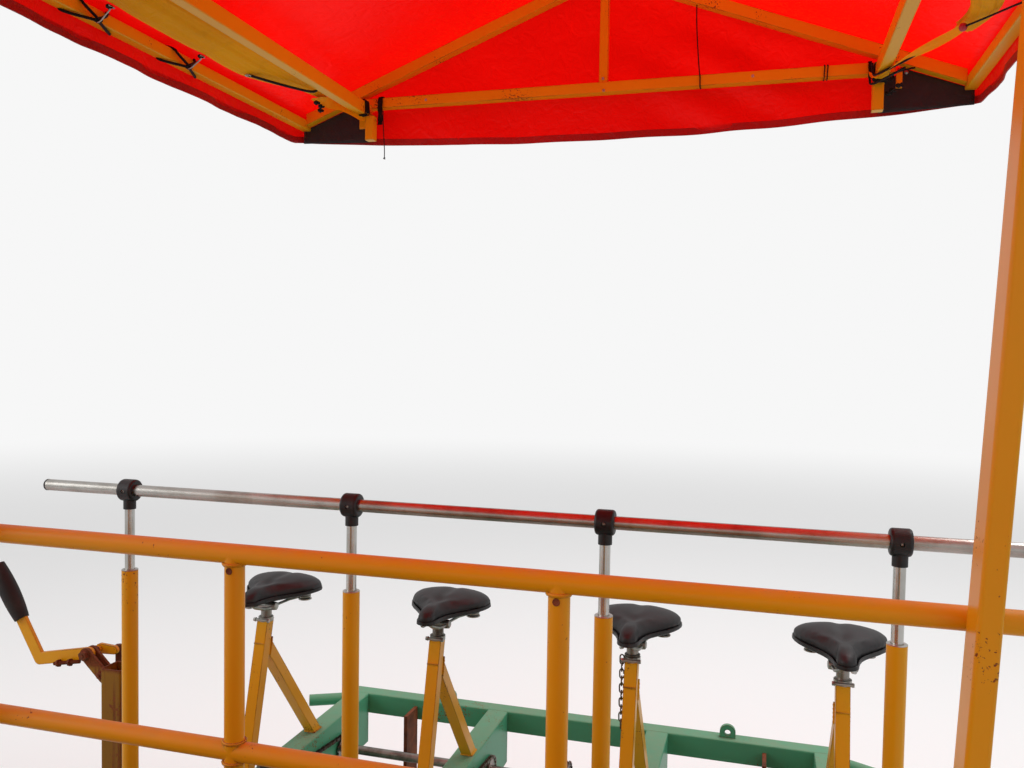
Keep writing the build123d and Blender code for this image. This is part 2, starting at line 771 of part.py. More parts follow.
# brake rigging: hung cross tubes with their hangers, the rods to the levers, and the shoes
shoe_x = back_to_back / 2 + flange_w + tread_w / 2
shoe_gap = 5
shoe_w = 60
shoe_h = 110
shoe_len = 68
shoe_beam_y = 2070
shoe_z = 230
shoe_beam_r = 17
rod_r = 7
rod_x = pivot_x - rod_arm
rod_y = brake_y + rod_arm_from + rod_arm_t + 1 + rod_r
rod_top = pivot_z + 8
hanger_x = 500
hanger_t = 10
hanger_lap = 3
hanger_d = beam_y - beam_w / 2 - shoe_beam_y + shoe_beam_r + hanger_lap
hanger_y = beam_y - beam_w / 2 - hanger_d / 2
hanger_top = sill_top - 20
hanger_low = shoe_z - shoe_beam_r - hanger_lap
with BuildPart() as brake_rigging:
    for end in ENDS:
        side = -end
        with Locations((side * (rod_x - shoe_x) / 2, end * shoe_beam_y, shoe_z)):
            Cylinder(shoe_beam_r, rod_x + shoe_x, rotation=(0, 90, 0))
        for hand in SIDES:
            with Locations((hand * hanger_x, end * hanger_y, (hanger_top + hanger_low) / 2)):
                Box(hanger_t, hanger_d, hanger_top - hanger_low)
brake_rigging.part.label = "brake_rigging"
export_step(brake_rigging.part, "parts/brake_rigging.step")

with BuildPart() as brake_rods:
    for end in ENDS:
        side = -end
        with Locations((side * rod_x, end * rod_y, (rod_top + shoe_z) / 2)):
            Cylinder(rod_r, rod_top - shoe_z)
        rod_end = shoe_beam_y - shoe_beam_r
        with Locations((side * rod_x, end * (rod_y + rod_end) / 2, shoe_z)):
            Cylinder(rod_r, rod_end - rod_y, rotation=(90, 0, 0))
        with Locations((side * rod_x, end * rod_y, shoe_z)):
            Sphere(rod_r)
brake_rods.part.label = "brake_rods"
export_step(brake_rods.part, "parts/brake_rods.step")

with BuildPart() as brake_shoes:
    for end in ENDS:
        for side in SIDES:
            shoe_plane = Plane(
                origin=(side * shoe_x - shoe_w / 2, 0, 0), x_dir=(0, 1, 0), z_dir=(1, 0, 0)
            )
            with BuildSketch(shoe_plane):
                with Locations((end * (shoe_beam_y - shoe_beam_r - shoe_len / 2), shoe_z)):
                    Rectangle(shoe_len, shoe_h)
                with Locations((end * axle_y, axle_z)):
                    Circle(tread_r + 2 + shoe_gap, mode=Mode.SUBTRACT)
            extrude(amount=shoe_w)
brake_shoes.part.label = "brake_shoes"
export_step(brake_shoes.part, "parts/brake_shoes.step")

# long roof beams: two main beams on the posts, two eave beams, and the ridge between the trusses
beam_end = truss_y - truss_w / 2
gable_y = truss_y + truss_w / 2
ridge_w = 30
ridge_top = apex_z + rafter_half - ridge_w / 2 * roof_slope
ridge_spans = (
    (-post_y + truss_w / 2, post_y - truss_w / 2),
    (post_y + truss_w / 2, beam_end),
    (-beam_end, -post_y - truss_w / 2),
)
beam_edge = 3
with BuildPart() as roof_beams:
    for side in SIDES:
        with Locations((side * roof_beam_x, 0, roof_beam_z + roof_beam_h / 2)):
            Box(roof_beam_w, 2 * beam_end, roof_beam_h)
        with Locations((side * (eave_x - eave_w / 2), 0, eave_top - eave_w / 2)):
            Box(eave_w, 2 * gable_y, eave_w)
    for y_from, y_to in ridge_spans:
        with Locations((0, (y_from + y_to) / 2, ridge_top - ridge_w / 2)):
            Box(ridge_w, y_to - y_from, ridge_w)
    fillet(roof_beams.edges().filter_by(Axis.Y), beam_edge)
roof_beams.part.label = "roof_beams"
export_step(roof_beams.part, "parts/roof_beams.step")

# short stubs below the ends of the main beams
stub_w = 28
stub_h = 74
stub_xs = (-roof_beam_x + 20, roof_beam_x - 4)
stub_inset = 2
with BuildPart() as beam_stubs:
    for end in ENDS:
        y = end * (beam_end - stub_w / 2 - stub_inset)
        with Locations([(x, y, roof_beam_z - stub_h / 2) for x in stub_xs]):
            Box(stub_w, stub_w, stub_h)
    fillet(beam_stubs.edges().filter_by(Axis.Z), beam_edge)
beam_stubs.part.label = "beam_stubs"
export_step(beam_stubs.part, "parts/beam_stubs.step")

# gable trusses with tie and king post, and plain rafter pairs over the posts
eave_in = eave_x - eave_w
king_top = apex_z - rafter_half
with BuildPart() as roof_trusses:
    for end in ENDS:
        with Locations((0, end * truss_y, tie_z + truss_w / 2)):
            Box(2 * tie_half, truss_w, truss_w)
        with Locations((0, end * truss_y, (tie_z + king_top) / 2)):
            Box(king_w, king_w, king_top - tie_z)
        for y in (truss_y, post_y):
            face = Plane(origin=(0, end * y + truss_w / 2, 0), x_dir=(1, 0, 0), z_dir=(0, -1, 0))
            with BuildSketch(face):
                Polygon(
                    (0, apex_z + rafter_half),
                    (eave_in, apex_z + rafter_half - roof_slope * eave_in),
                    (eave_in, apex_z - rafter_half - roof_slope * eave_in),
                    (0, apex_z - rafter_half),
                    (-eave_in, apex_z - rafter_half - roof_slope * eave_in),
                    (-eave_in, apex_z + rafter_half - roof_slope * eave_in),
                    align=None,
                )
            extrude(amount=truss_w)
roof_trusses.part.label = "roof_trusses"
export_step(roof_trusses.part, "parts/roof_trusses.step")

# canopy sheet: two slopes with side hems, and the two gable sheets
sheet_low = apex_z + rafter_half
sheet_rise = tarp_t * steep
out_x = eave_x + gap
gable_out = gable_y + gap + tarp_t
with BuildPart() as canopy_roof:
    face = Plane(origin=(0, gable_out, 0), x_dir=(1, 0, 0), z_dir=(0, -1, 0))
    with BuildSketch(face):
        Polygon(
            (0, sheet_low),
            (out_x, sheet_low - roof_slope * out_x),
            (out_x, hem_side_z),
            (out_x + tarp_t, hem_side_z),
            (out_x + tarp_t, sheet_low + sheet_rise - roof_slope * (out_x + tarp_t)),
            (0, sheet_low + sheet_rise),
            (-out_x - tarp_t, sheet_low + sheet_rise - roof_slope * (out_x + tarp_t)),
            (-out_x - tarp_t, hem_side_z),
            (-out_x, hem_side_z),
            (-out_x, sheet_low - roof_slope * out_x),
            align=None,
        )
    extrude(amount=2 * gable_out)
canopy_roof.part.label = "canopy_roof"
export_step(canopy_roof.part, "parts/canopy_roof.step")

for end in ENDS:
    origin_y = gable_y + gap + tarp_t if end == 1 else -gable_y - gap
    face = Plane(origin=(0, origin_y, 0), x_dir=(1, 0, 0), z_dir=(0, -1, 0))
    with BuildPart() as gable:
        with BuildSketch(face):
            with BuildLine():
                Polyline(
                    (-out_x, hem_corner_z),
                    (-out_x, sheet_low - roof_slope * out_x),
                    (0, sheet_low),
                    (out_x, sheet_low - roof_slope * out_x),
                    (out_x, hem_corner_z),
                )
                ThreePointArc((out_x, hem_corner_z), (0, hem_mid_z), (-out_x, hem_corner_z))
            make_face()
        extrude(amount=tarp_t)
    gable.part.label = "canopy_gable_" + names[end]
    export_step(gable.part, "parts/canopy_gable_" + names[end] + ".step")

# black corner patches on the gable sheets, below the rafters and outside the tie
patch_t = 3
patch_gap = 2
patch_in = roof_beam_x + 4
patch_step = tie_half + 4
patch_out = eave_in - patch_gap
patch_low = hem_corner_z - 4
with BuildPart() as corner_patches:
    for end in ENDS:
        y = gable_y if end == 1 else -gable_y + patch_t
        face = Plane(origin=(0, y, 0), x_dir=(1, 0, 0), z_dir=(0, -1, 0))
        for side in SIDES:
            under = apex_z - rafter_half - patch_gap
            with BuildSketch(face):
                Polygon(
                    (side * patch_in, tie_z - patch_gap),
                    (side * patch_step, tie_z - patch_gap),
                    (side * patch_step, under - roof_slope * patch_step),
                    (side * patch_out, under - roof_slope * patch_out),
                    (side * patch_out, patch_low),
                    (side * patch_in, patch_low - 8),
                    align=None,
                )
            extrude(amount=patch_t)
corner_patches.part.label = "corner_patches"
export_step(corner_patches.part, "parts/corner_patches.step")

# rolled side curtains tied up under the rafters, drawn in to a tail at each end
roll_x = 850
roll_rx = 82
roll_rz = 28
roll_z = apex_z - rafter_half - roof_slope * roll_x - (roll_rz + gap) * steep
roll_straight = 1740
tail_y = 2090
tail_x = 796
tail_z = roll_z + 10
tail_rx = 22
tail_rz = 12
roll_tilt = degrees(atan(roof_slope))
with BuildPart() as side_curtains:
    for side in SIDES:
        roll_plane = Plane(
            origin=(side * roll_x, roll_straight, roll_z), x_dir=(1, 0, 0), z_dir=(0, -1, 0)
        )
        with BuildSketch(roll_plane):
            Ellipse(roll_rx, roll_rz, rotation=-side * roll_tilt)
        extrude(amount=2 * roll_straight)
        for end in ENDS:
            with BuildSketch(roll_plane.offset(0 if end == 1 else 2 * roll_straight)):
                Ellipse(roll_rx, roll_rz, rotation=-side * roll_tilt)
            tail_plane = Plane(
                origin=(side * tail_x, end * tail_y, tail_z), x_dir=(1, 0, 0), z_dir=(0, -1, 0)
            )
            with BuildSketch(tail_plane):
                Ellipse(tail_rx, tail_rz, rotation=-side * roll_tilt)
            loft()
side_curtains.part.label = "side_curtains"
export_step(side_curtains.part, "parts/side_curtains.step")
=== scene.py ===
import json
from math import atan, atan2, cos, exp, pi, radians, sin, sqrt

import bpy
from mathutils import Matrix, Vector, noise


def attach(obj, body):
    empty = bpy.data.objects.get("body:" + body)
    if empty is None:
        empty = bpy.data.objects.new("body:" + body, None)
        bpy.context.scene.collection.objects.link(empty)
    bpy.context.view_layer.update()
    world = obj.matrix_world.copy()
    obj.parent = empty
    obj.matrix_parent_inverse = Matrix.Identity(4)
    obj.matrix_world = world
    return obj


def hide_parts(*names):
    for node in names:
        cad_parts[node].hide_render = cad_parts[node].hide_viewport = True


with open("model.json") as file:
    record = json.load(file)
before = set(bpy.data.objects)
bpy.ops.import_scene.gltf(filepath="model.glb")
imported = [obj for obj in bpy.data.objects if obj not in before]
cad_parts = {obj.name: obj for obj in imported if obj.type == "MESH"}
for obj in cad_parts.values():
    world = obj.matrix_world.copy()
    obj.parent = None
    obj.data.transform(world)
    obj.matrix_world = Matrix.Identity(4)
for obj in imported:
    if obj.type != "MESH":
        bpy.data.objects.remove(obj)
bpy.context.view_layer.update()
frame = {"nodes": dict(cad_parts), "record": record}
nodes = frame["nodes"]
scene = bpy.context.scene
print("frame loaded:", len(nodes), "nodes")


def linearColour(hexCode, alpha=1.0):
    channels = [int(hexCode[i:i + 2], 16) / 255 for i in (0, 2, 4)]
    linear = [c / 12.92 if c <= 0.04045 else ((c + 0.055) / 1.055) ** 2.4 for c in channels]
    return (*linear, alpha)


def wire(tree, node, links):
    # a source is a socket, or a node whose first output is meant
    for socket, source in links.items():
        tree.links.new(source.outputs[0] if hasattr(source, "outputs") else source, node.inputs[socket])


def addNode(tree, kind, links=None, inputs=None, tones=(), **settings):
    # tones are the (position, sRGB hex) stops of a colour ramp
    node = tree.nodes.new("ShaderNode" + kind)
    for name, value in settings.items():
        setattr(node, name, value)
    for socket, value in (inputs or {}).items():
        node.inputs[socket].default_value = value
    for i, (position, hexCode) in enumerate(tones):
        stop = node.color_ramp.elements[i]
        stop.position, stop.color = position, linearColour(hexCode)
    wire(tree, node, links or {})
    return node


def span(fromLow=0.0, fromHigh=1.0, toLow=0.0, toHigh=1.0):
    return {1: fromLow, 2: fromHigh, 3: toLow, 4: toHigh}  # inputs of a map range


def startMaterial(name, roughness=0.5, metallic=0.0, **sockets):
    mat = bpy.data.materials.new(name)
    mat.use_nodes = True
    tree = mat.node_tree
    shader = tree.nodes["Principled BSDF"]
    shader.inputs["Roughness"].default_value = roughness
    shader.inputs["Metallic"].default_value = metallic
    for socket, value in sockets.items():
        shader.inputs[socket.replace("_", " ")].default_value = value
    place = addNode(tree, "TexCoord").outputs["Object"]  # metres, in the part's own frame
    return mat, tree, shader, place


# the camera stands under the canopy, where the photograph was taken
view = {"place": (0.469, -0.25, 1.535), "yaw": 15.918, "pitch": 2.389, "roll": 0.924,
        "lens": 30.55, "sensor": 36, "shiftX": -0.0025, "shiftY": 0.0110, "clip": 0.02}
yaw, pitch, roll = (radians(view[k]) for k in ("yaw", "pitch", "roll"))
ahead = Vector((-sin(yaw) * cos(pitch), cos(yaw) * cos(pitch), -sin(pitch)))
right = Vector((cos(yaw), sin(yaw), 0))
up = right.cross(ahead)
camRight = right * cos(roll) + up * sin(roll)
camUp = up * cos(roll) - right * sin(roll)
camData = bpy.data.cameras.new("camera")
camData.lens = view["lens"]
camData.sensor_width = view["sensor"]
camData.shift_x = view["shiftX"]
camData.shift_y = view["shiftY"]
camData.clip_start = view["clip"]
camera = bpy.data.objects.new("camera", camData)
turn = Matrix((camRight, camUp, -ahead)).transposed().to_4x4()
camera.matrix_world = Matrix.Translation(view["place"]) @ turn
scene.collection.objects.link(camera)
scene.camera = camera


# materials; every pattern is set in metres, so a noise scale is about 1 / (size of a patch in metres)

def glossPaint(name, finish):
    # enamel brushed on steel: an even film with a soft shine, chips, rust and dust
    mat, tree, shader, place = startMaterial(name, Specular_IOR_Level=0.22)
    broad = addNode(tree, "TexNoise", {"Vector": place}, {"Scale": 2.6, "Detail": 4})
    tone = addNode(tree, "Mix", {0: broad}, {6: linearColour(finish["deep"]), 7: linearColour(finish["main"])},
                   data_type="RGBA")
    # chips of 2 to 6 mm, gathered where the zone noise is high
    grit = addNode(tree, "TexNoise", {"Vector": place}, {"Scale": 210, "Detail": 3, "Roughness": 0.6})
    zone = addNode(tree, "TexNoise", {"Vector": place}, {"Scale": 9, "Detail": 3})
    zoned = addNode(tree, "Math", {0: grit, 1: zone}, operation="MULTIPLY")
    chips = addNode(tree, "MapRange", {0: zoned}, span(finish["chipFrom"], finish["chipFrom"] + 0.025))
    # worn edges: where the rounded normal leaves the true one
    edge = addNode(tree, "Bevel", {}, {"Radius": 0.004}, samples=4)
    geometry = addNode(tree, "NewGeometry")
    facing = addNode(tree, "VectorMath", {0: edge, 1: geometry.outputs["True Normal"]}, operation="DOT_PRODUCT")
    edgeMask = addNode(tree, "MapRange", {0: facing.outputs["Value"]}, span(0.995, 0.90))
    edgeWear = addNode(tree, "Math", {0: edgeMask, 1: zone}, operation="MULTIPLY")
    worn = addNode(tree, "MapRange", {0: edgeWear}, span(finish["edgeFrom"], finish["edgeFrom"] + 0.15))
    bare = addNode(tree, "Math", {0: chips, 1: worn}, operation="MAXIMUM")
    if "rimBelow" in finish:  # rust runs down in lines 5 to 15 mm wide from the bare upper rim
        drawn = addNode(tree, "Mapping", {"Vector": place}, {"Scale": (1, 1, 0.04)})
        lines = addNode(tree, "TexNoise", {"Vector": drawn}, {"Scale": 70, "Detail": 4})
        runs = addNode(tree, "MapRange", {0: lines}, span(0.53, 0.62, 0, 0.85))
        high = addNode(tree, "SeparateXYZ", {0: place})
        rim = addNode(tree, "MapRange", {0: high.outputs["Z"]}, span(finish["rimBelow"], finish["rimBelow"] + 0.008))
        rusted = addNode(tree, "Math", {0: runs, 1: rim}, operation="MAXIMUM")
        bare = addNode(tree, "Math", {0: bare, 1: rusted}, operation="MAXIMUM")
    rust = addNode(tree, "ValToRGB", {"Fac": grit}, tones=((0, "3A1E12"), (1, "9A5A30")))
    withRust = addNode(tree, "Mix", {0: bare, 6: tone.outputs[2], 7: rust}, data_type="RGBA")
    # dust lies on what faces up
    upward = addNode(tree, "SeparateXYZ", {0: geometry.outputs["Normal"]})
    dustNoise = addNode(tree, "TexNoise", {"Vector": place}, {"Scale": 38, "Detail": 5})
    dustFace = addNode(tree, "MapRange", {0: upward.outputs["Z"]}, span(0.35, 1, 0, finish["dust"]))
    dustFac = addNode(tree, "Math", {0: dustFace, 1: dustNoise}, operation="MULTIPLY")
    dusty = addNode(tree, "Mix", {0: dustFac, 6: withRust.outputs[2]}, {7: linearColour("A79D8A")}, data_type="RGBA")
    rough = addNode(tree, "MapRange", {0: bare}, span(toLow=finish["roughness"], toHigh=0.85))
    roughMore = addNode(tree, "Math", {0: rough, 1: dustFac}, operation="ADD", use_clamp=True)
    height = addNode(tree, "Math", {0: broad, 1: bare}, operation="SUBTRACT")
    bump = addNode(tree, "Bump", {"Height": height, "Normal": edge}, {"Strength": 0.5, "Distance": 0.0004})
    wire(tree, shader, {"Base Color": dusty.outputs[2], "Roughness": roughMore, "Normal": bump})
    return mat


# warm yellow tube paint, green frame paint, and the yellow that has gone olive and rusty on the brake posts
yellowEnamel = glossPaint("yellowEnamel", {"main": "F0B41A", "deep": "DE9A0E", "chipFrom": 0.40, "edgeFrom": 0.44,
                                           "dust": 0.35, "roughness": 0.30})
greenEnamel = glossPaint("greenEnamel", {"main": "5DB48D", "deep": "479A75", "chipFrom": 0.375, "edgeFrom": 0.36,
                                         "dust": 0.5, "roughness": 0.34})
rustyEnamel = glossPaint("rustyEnamel", {"main": "A67C0C", "deep": "76500E", "chipFrom": 0.345, "edgeFrom": 0.30,
                                         "dust": 0.4, "roughness": 0.42, "rimBelow": 0.860})


def metalSurface(name, finish):
    # turned, drawn or cast metal: the marks run round the part and oil or rust darkens them
    mat, tree, shader, place = startMaterial(name, metallic=finish.get("metallic", 1.0))
    stretch = addNode(tree, "Mapping", {"Vector": place}, {"Scale": finish.get("stretch", (1, 1, 1))})
    marks = addNode(tree, "TexNoise", {"Vector": stretch}, {"Scale": finish["scale"], "Detail": 5})
    blotch = addNode(tree, "TexNoise", {"Vector": place}, {"Scale": 14, "Detail": 6, "Roughness": 0.62})
    ramp = addNode(tree, "ValToRGB", {"Fac": blotch}, tones=((finish.get("from", 0.3), finish["dark"]),
                                                             (finish.get("to", 0.55), finish["main"])))
    rough = addNode(tree, "MapRange", {0: marks},
                    span(0.25, 0.75, finish["roughness"] - 0.07, finish["roughness"] + 0.10))
    bump = addNode(tree, "Bump", {"Height": marks}, {"Strength": finish["bump"], "Distance": 0.0003})
    wire(tree, shader, {"Base Color": ramp, "Roughness": rough, "Normal": bump})
    return mat


# polished stainless riser: mirror-like with faint draw lines along the tube
polishedStainless = metalSurface("polishedStainless", {
    "main": "D5D3CE", "dark": "BDBAB2", "roughness": 0.16, "stretch": (1, 1, 0.03), "scale": 900, "bump": 0.12})
# handlebar tube: ground stainless, dulled by hands, marks run along X
wornStainless = metalSurface("wornStainless", {
    "main": "C4C1BB", "dark": "9C978E", "roughness": 0.30, "stretch": (0.03, 1, 1), "scale": 800, "bump": 0.2})
# turned bright steel with an oil film
turnedSteel = metalSurface("turnedSteel", {
    "main": "9C9790", "dark": "4A4138", "roughness": 0.36, "stretch": (1, 0.05, 0.05), "scale": 700, "bump": 0.25})
# oiled roller chain: dark brown-grey with bright plate edges
oiledChain = metalSurface("oiledChain", {
    "main": "6E655A", "dark": "2C2620", "roughness": 0.38, "scale": 350, "bump": 0.3})
# zinc-plated fasteners and hooks: pale grey, slightly mottled
zincPlate = metalSurface("zincPlate", {
    "main": "B9B8B2", "dark": "83807A", "roughness": 0.38, "scale": 500, "bump": 0.2})
# bar and rod left outdoors: flaky brown rust, hardly any shine
rustySteel = metalSurface("rustySteel", {
    "main": "8A4E2C", "dark": "3E2318", "roughness": 0.82, "metallic": 0.15, "scale": 260, "bump": 0.9,
    "from": 0.35, "to": 0.65})
# grey iron brake block: coarse sand-cast skin
blockIron = metalSurface("blockIron", {
    "main": "4A4440", "dark": "2A2624", "roughness": 0.7, "metallic": 0.6, "scale": 300, "bump": 0.8})


def castWheel(name, finish):
    # cast iron wheel: rough brown skin, and a tread and flange polished bright by the rail
    mat, tree, shader, place = startMaterial(name, metallic=1.0)
    parts = addNode(tree, "SeparateXYZ", {0: place})
    alongAbs = addNode(tree, "Math", {0: parts.outputs["Y"]}, operation="ABSOLUTE")
    dy = addNode(tree, "Math", {0: alongAbs}, {1: finish["axleY"]}, operation="SUBTRACT")
    dz = addNode(tree, "Math", {0: parts.outputs["Z"]}, {1: finish["axleZ"]}, operation="SUBTRACT")
    dySq = addNode(tree, "Math", {0: dy, 1: dy}, operation="MULTIPLY")
    dzSq = addNode(tree, "Math", {0: dz, 1: dz}, operation="MULTIPLY")
    total = addNode(tree, "Math", {0: dySq, 1: dzSq}, operation="ADD")
    radius = addNode(tree, "Math", {0: total}, operation="SQRT")
    bright = addNode(tree, "MapRange", {0: radius}, span(finish["bareFrom"], finish["bareFrom"] + 0.003))
    skin = addNode(tree, "TexNoise", {"Vector": place}, {"Scale": 60, "Detail": 7, "Roughness": 0.65})
    ramp = addNode(tree, "ValToRGB", {"Fac": skin}, tones=((0.35, "2E2019"), (0.68, "6B4632")))
    colour = addNode(tree, "Mix", {0: bright, 6: ramp}, {7: linearColour("A8A39C")}, data_type="RGBA")
    metal = addNode(tree, "MapRange", {0: bright}, span(toLow=0.3))
    rough = addNode(tree, "MapRange", {0: bright}, span(toLow=0.78, toHigh=0.24))
    bump = addNode(tree, "Bump", {"Height": skin}, {"Strength": 0.4, "Distance": 0.0008})
    wire(tree, shader, {"Base Color": colour.outputs[2], "Metallic": metal, "Roughness": rough, "Normal": bump})
    return mat


wheelIron = castWheel("castWheel", {"axleY": 1.85, "axleZ": 0.177, "bareFrom": 0.1435})


def boardWood(name, finish):
    # sawn softwood boards with stain or varnish: long grain, knots and grey wear
    mat, tree, shader, place = startMaterial(name, Coat_Weight=finish["varnish"], Coat_Roughness=0.25)
    stretch = addNode(tree, "Mapping", {"Vector": place}, {"Scale": finish["grain"]})
    grain = addNode(tree, "TexNoise", {"Vector": stretch}, {"Scale": 60, "Detail": 6, "Distortion": 0.6})
    fine = addNode(tree, "TexNoise", {"Vector": stretch}, {"Scale": 420, "Detail": 3})
    each = addNode(tree, "TexNoise", {"Vector": place}, {"Scale": 5.5, "Detail": 1})
    ramp = addNode(tree, "ValToRGB", {"Fac": grain}, tones=((0.34, finish["dark"]), (0.64, finish["light"])))
    shade = addNode(tree, "MapRange", {0: each}, span(toLow=0.75, toHigh=1.15))
    tint = addNode(tree, "Mix", {6: ramp, 7: shade}, {0: 1.0}, data_type="RGBA", blend_type="MULTIPLY")
    rough = addNode(tree, "MapRange", {0: fine}, span(toLow=0.5, toHigh=0.75))
    both = addNode(tree, "Math", {0: grain, 1: fine}, operation="ADD")
    edge = addNode(tree, "Bevel", {}, {"Radius": 0.003}, samples=4)
    bump = addNode(tree, "Bump", {"Height": both, "Normal": edge}, {"Strength": 0.35, "Distance": 0.0006})
    wire(tree, shader, {"Base Color": tint.outputs[2], "Roughness": rough, "Normal": bump})
    return mat


# floor boards: dull brown stain, walked grey; bench slats: clear varnish over warm pine
stainedSoftwood = boardWood("stainedSoftwood", {"dark": "4A3020", "light": "7E5A3C", "grain": (1, 0.06, 1),
                                                "varnish": 0.0})
varnishedPine = boardWood("varnishedPine", {"dark": "7A4A22", "light": "B98A4E", "grain": (0.06, 1, 1),
                                            "varnish": 0.4})


def moulded(name, main, worn, grainSize, roughness, bumpStrength):
    # glass-filled nylon, rubber or vinyl: a fine moulded grain and a soft broad shine
    mat, tree, shader, place = startMaterial(name)
    grain = addNode(tree, "TexVoronoi", {"Vector": place}, {"Scale": 1 / grainSize})
    dirt = addNode(tree, "TexNoise", {"Vector": place}, {"Scale": 22, "Detail": 6})
    ramp = addNode(tree, "ValToRGB", {"Fac": dirt}, tones=((0.45, main), (0.8, worn)))
    rough = addNode(tree, "MapRange", {0: dirt}, span(toLow=roughness - 0.08, toHigh=roughness + 0.12))
    bump = addNode(tree, "Bump", {"Height": grain}, {"Strength": bumpStrength, "Distance": 0.0003})
    wire(tree, shader, {"Base Color": ramp, "Roughness": rough, "Normal": bump})
    return mat


mouldedNylon = moulded("mouldedNylon", "121214", "2A2A2C", 0.0012, 0.42, 0.25)  # clamps, plugs: near black, even
gripRubber = moulded("gripRubber", "151313", "332C28", 0.0025, 0.62, 0.4)  # brake grips: dull, brown with dust
saddleVinyl = moulded("saddleVinyl", "161618", "2C2C30", 0.0018, 0.46, 0.5)  # saddle tops: leather-like grain
ballPlastic = moulded("ballPlastic", "B01A30", "C8384A", 0.002, 0.35, 0.1)  # ball ties: smooth deep red
pedalPolymer = moulded("pedalPolymer", "1A1A1B", "3A3733", 0.002, 0.6, 0.3)  # pedals: scuffed and dusty


def wovenSheet(name, finish):
    # coated polyester sheet: woven scrim under a soft glossy film, light passes through it
    mat, tree, shader, place = startMaterial(name, finish["roughness"], Sheen_Weight=finish.get("sheen", 0.0),
                                             Specular_IOR_Level=finish.get("gloss", 0.5))
    broad = addNode(tree, "TexNoise", {"Vector": place}, {"Scale": 1.7, "Detail": 5, "Roughness": 0.6})
    stain = addNode(tree, "TexNoise", {"Vector": place}, {"Scale": 11, "Detail": 7, "Roughness": 0.65})
    ramp = addNode(tree, "ValToRGB", {"Fac": broad}, tones=((0.32, finish["deep"]), (0.62, finish["main"])))
    stained = addNode(tree, "MapRange", {0: stain}, span(0.55, 0.78, 0, finish["stain"]))
    mixed = addNode(tree, "Mix", {0: stained, 6: ramp}, {7: linearColour(finish["stainTone"])}, data_type="RGBA")
    colour = mixed.outputs[2]
    # scrim threads 1.2 mm apart, drawn at 3 mm so that they show
    warp, weft = (addNode(tree, "TexWave", {"Vector": place}, {"Scale": 105}, bands_direction=way).outputs["Fac"]
                  for way in "YX")
    weave = addNode(tree, "Math", {0: warp, 1: weft}, operation="ADD")
    crease = addNode(tree, "TexNoise", {"Vector": place}, {"Scale": 24, "Detail": 3, "Distortion": 1.2})
    fineBump = addNode(tree, "Bump", {"Height": weave}, {"Strength": finish["weave"], "Distance": 0.0002})
    bump = addNode(tree, "Bump", {"Height": crease, "Normal": fineBump}, {"Strength": 0.6, "Distance": 0.006})
    wire(tree, shader, {"Base Color": colour, "Normal": bump})
    if finish["through"]:
        glow = addNode(tree, "BsdfTranslucent", {"Color": colour, "Normal": bump})
        mix = addNode(tree, "MixShader", {1: shader, 2: glow}, {0: finish["through"]})
        wire(tree, tree.nodes["Material Output"], {"Surface": mix})
        if "doubledBelow" in finish:  # the valance is two layers thick, so less light comes through it
            parts = addNode(tree, "SeparateXYZ", {0: place})
            low = finish["doubledBelow"]
            single = addNode(tree, "MapRange", {0: parts.outputs["Z"]},
                             span(low - 0.004, low + 0.004, finish["through"] * 0.62, finish["through"]))
            wire(tree, mix, {0: single})
    return mat


# canopy: glowing red where the sky shines through, soft creases
redTarpaulin = wovenSheet("redTarpaulin", {
    "main": "F50A03", "deep": "E80803", "stain": 0.10, "stainTone": "8A1008", "roughness": 0.42, "weave": 0.25,
    "through": 0.62, "gloss": 0.35, "doubledBelow": 2.312})
# hem: several layers, so nearly opaque; its darker red is painted shade of the thick hem, where little light comes
# through
redHemWebbingPaintedShade = wovenSheet("redHemWebbingPaintedShade", {
    "main": "B80A05", "deep": "9E0603", "stain": 0.3, "stainTone": "7A0E08", "roughness": 0.5, "weave": 0.4,
    "through": 0.08})
# side curtains: matt golden cloth
ochreCurtain = wovenSheet("ochreCurtain", {
    "main": "FFB600", "deep": "EE9E00", "stain": 0.25, "stainTone": "8F6A20", "roughness": 0.62, "weave": 0.3,
    "through": 0.22, "gloss": 0.12})
# corner patches: coarse black cloth, a little dusty
blackReinforcement = wovenSheet("blackReinforcement", {
    "main": "1E1D20", "deep": "111013", "stain": 0.4, "stainTone": "3A3634", "roughness": 0.7, "weave": 0.6,
    "through": 0.0, "sheen": 0.2})
# cords and straps: dull black braid
blackWebbing = wovenSheet("blackWebbing", {
    "main": "151212", "deep": "0C0B0B", "stain": 0.5, "stainTone": "3B3530", "roughness": 0.8, "weave": 0.8,
    "through": 0.0, "sheen": 0.05, "gloss": 0.25})

finishes = {
    "paint_yellow": yellowEnamel, "frame_green": greenEnamel, "boards": stainedSoftwood, "slats": varnishedPine,
    "chrome_tube": polishedStainless, "bar_steel": wornStainless, "black_plastic": mouldedNylon,
    "saddle_cover": saddleVinyl, "bare_steel": turnedSteel, "cast_wheel": wheelIron, "pedal_black": pedalPolymer,
    "chain_steel": oiledChain, "rusty_steel": rustySteel, "shoe_iron": blockIron, "red_sheet": redTarpaulin,
    "black_fabric": blackReinforcement, "curtain_yellow": ochreCurtain,
}
ownFinish = {"brake_posts": rustyEnamel, "brake_grip_front": gripRubber, "brake_grip_rear": gripRubber}
slotOf = {row["node"]: row["material_slot"] for row in frame["record"]["subparts"]}
for name, obj in nodes.items():
    finish = ownFinish.get(name, finishes[slotOf[name]])
    if not obj.material_slots:
        obj.data.materials.append(finish)
    for slot in obj.material_slots:
        slot.material = finish
print("finishes on the frame's nodes:", len(finishes))


# mesh building

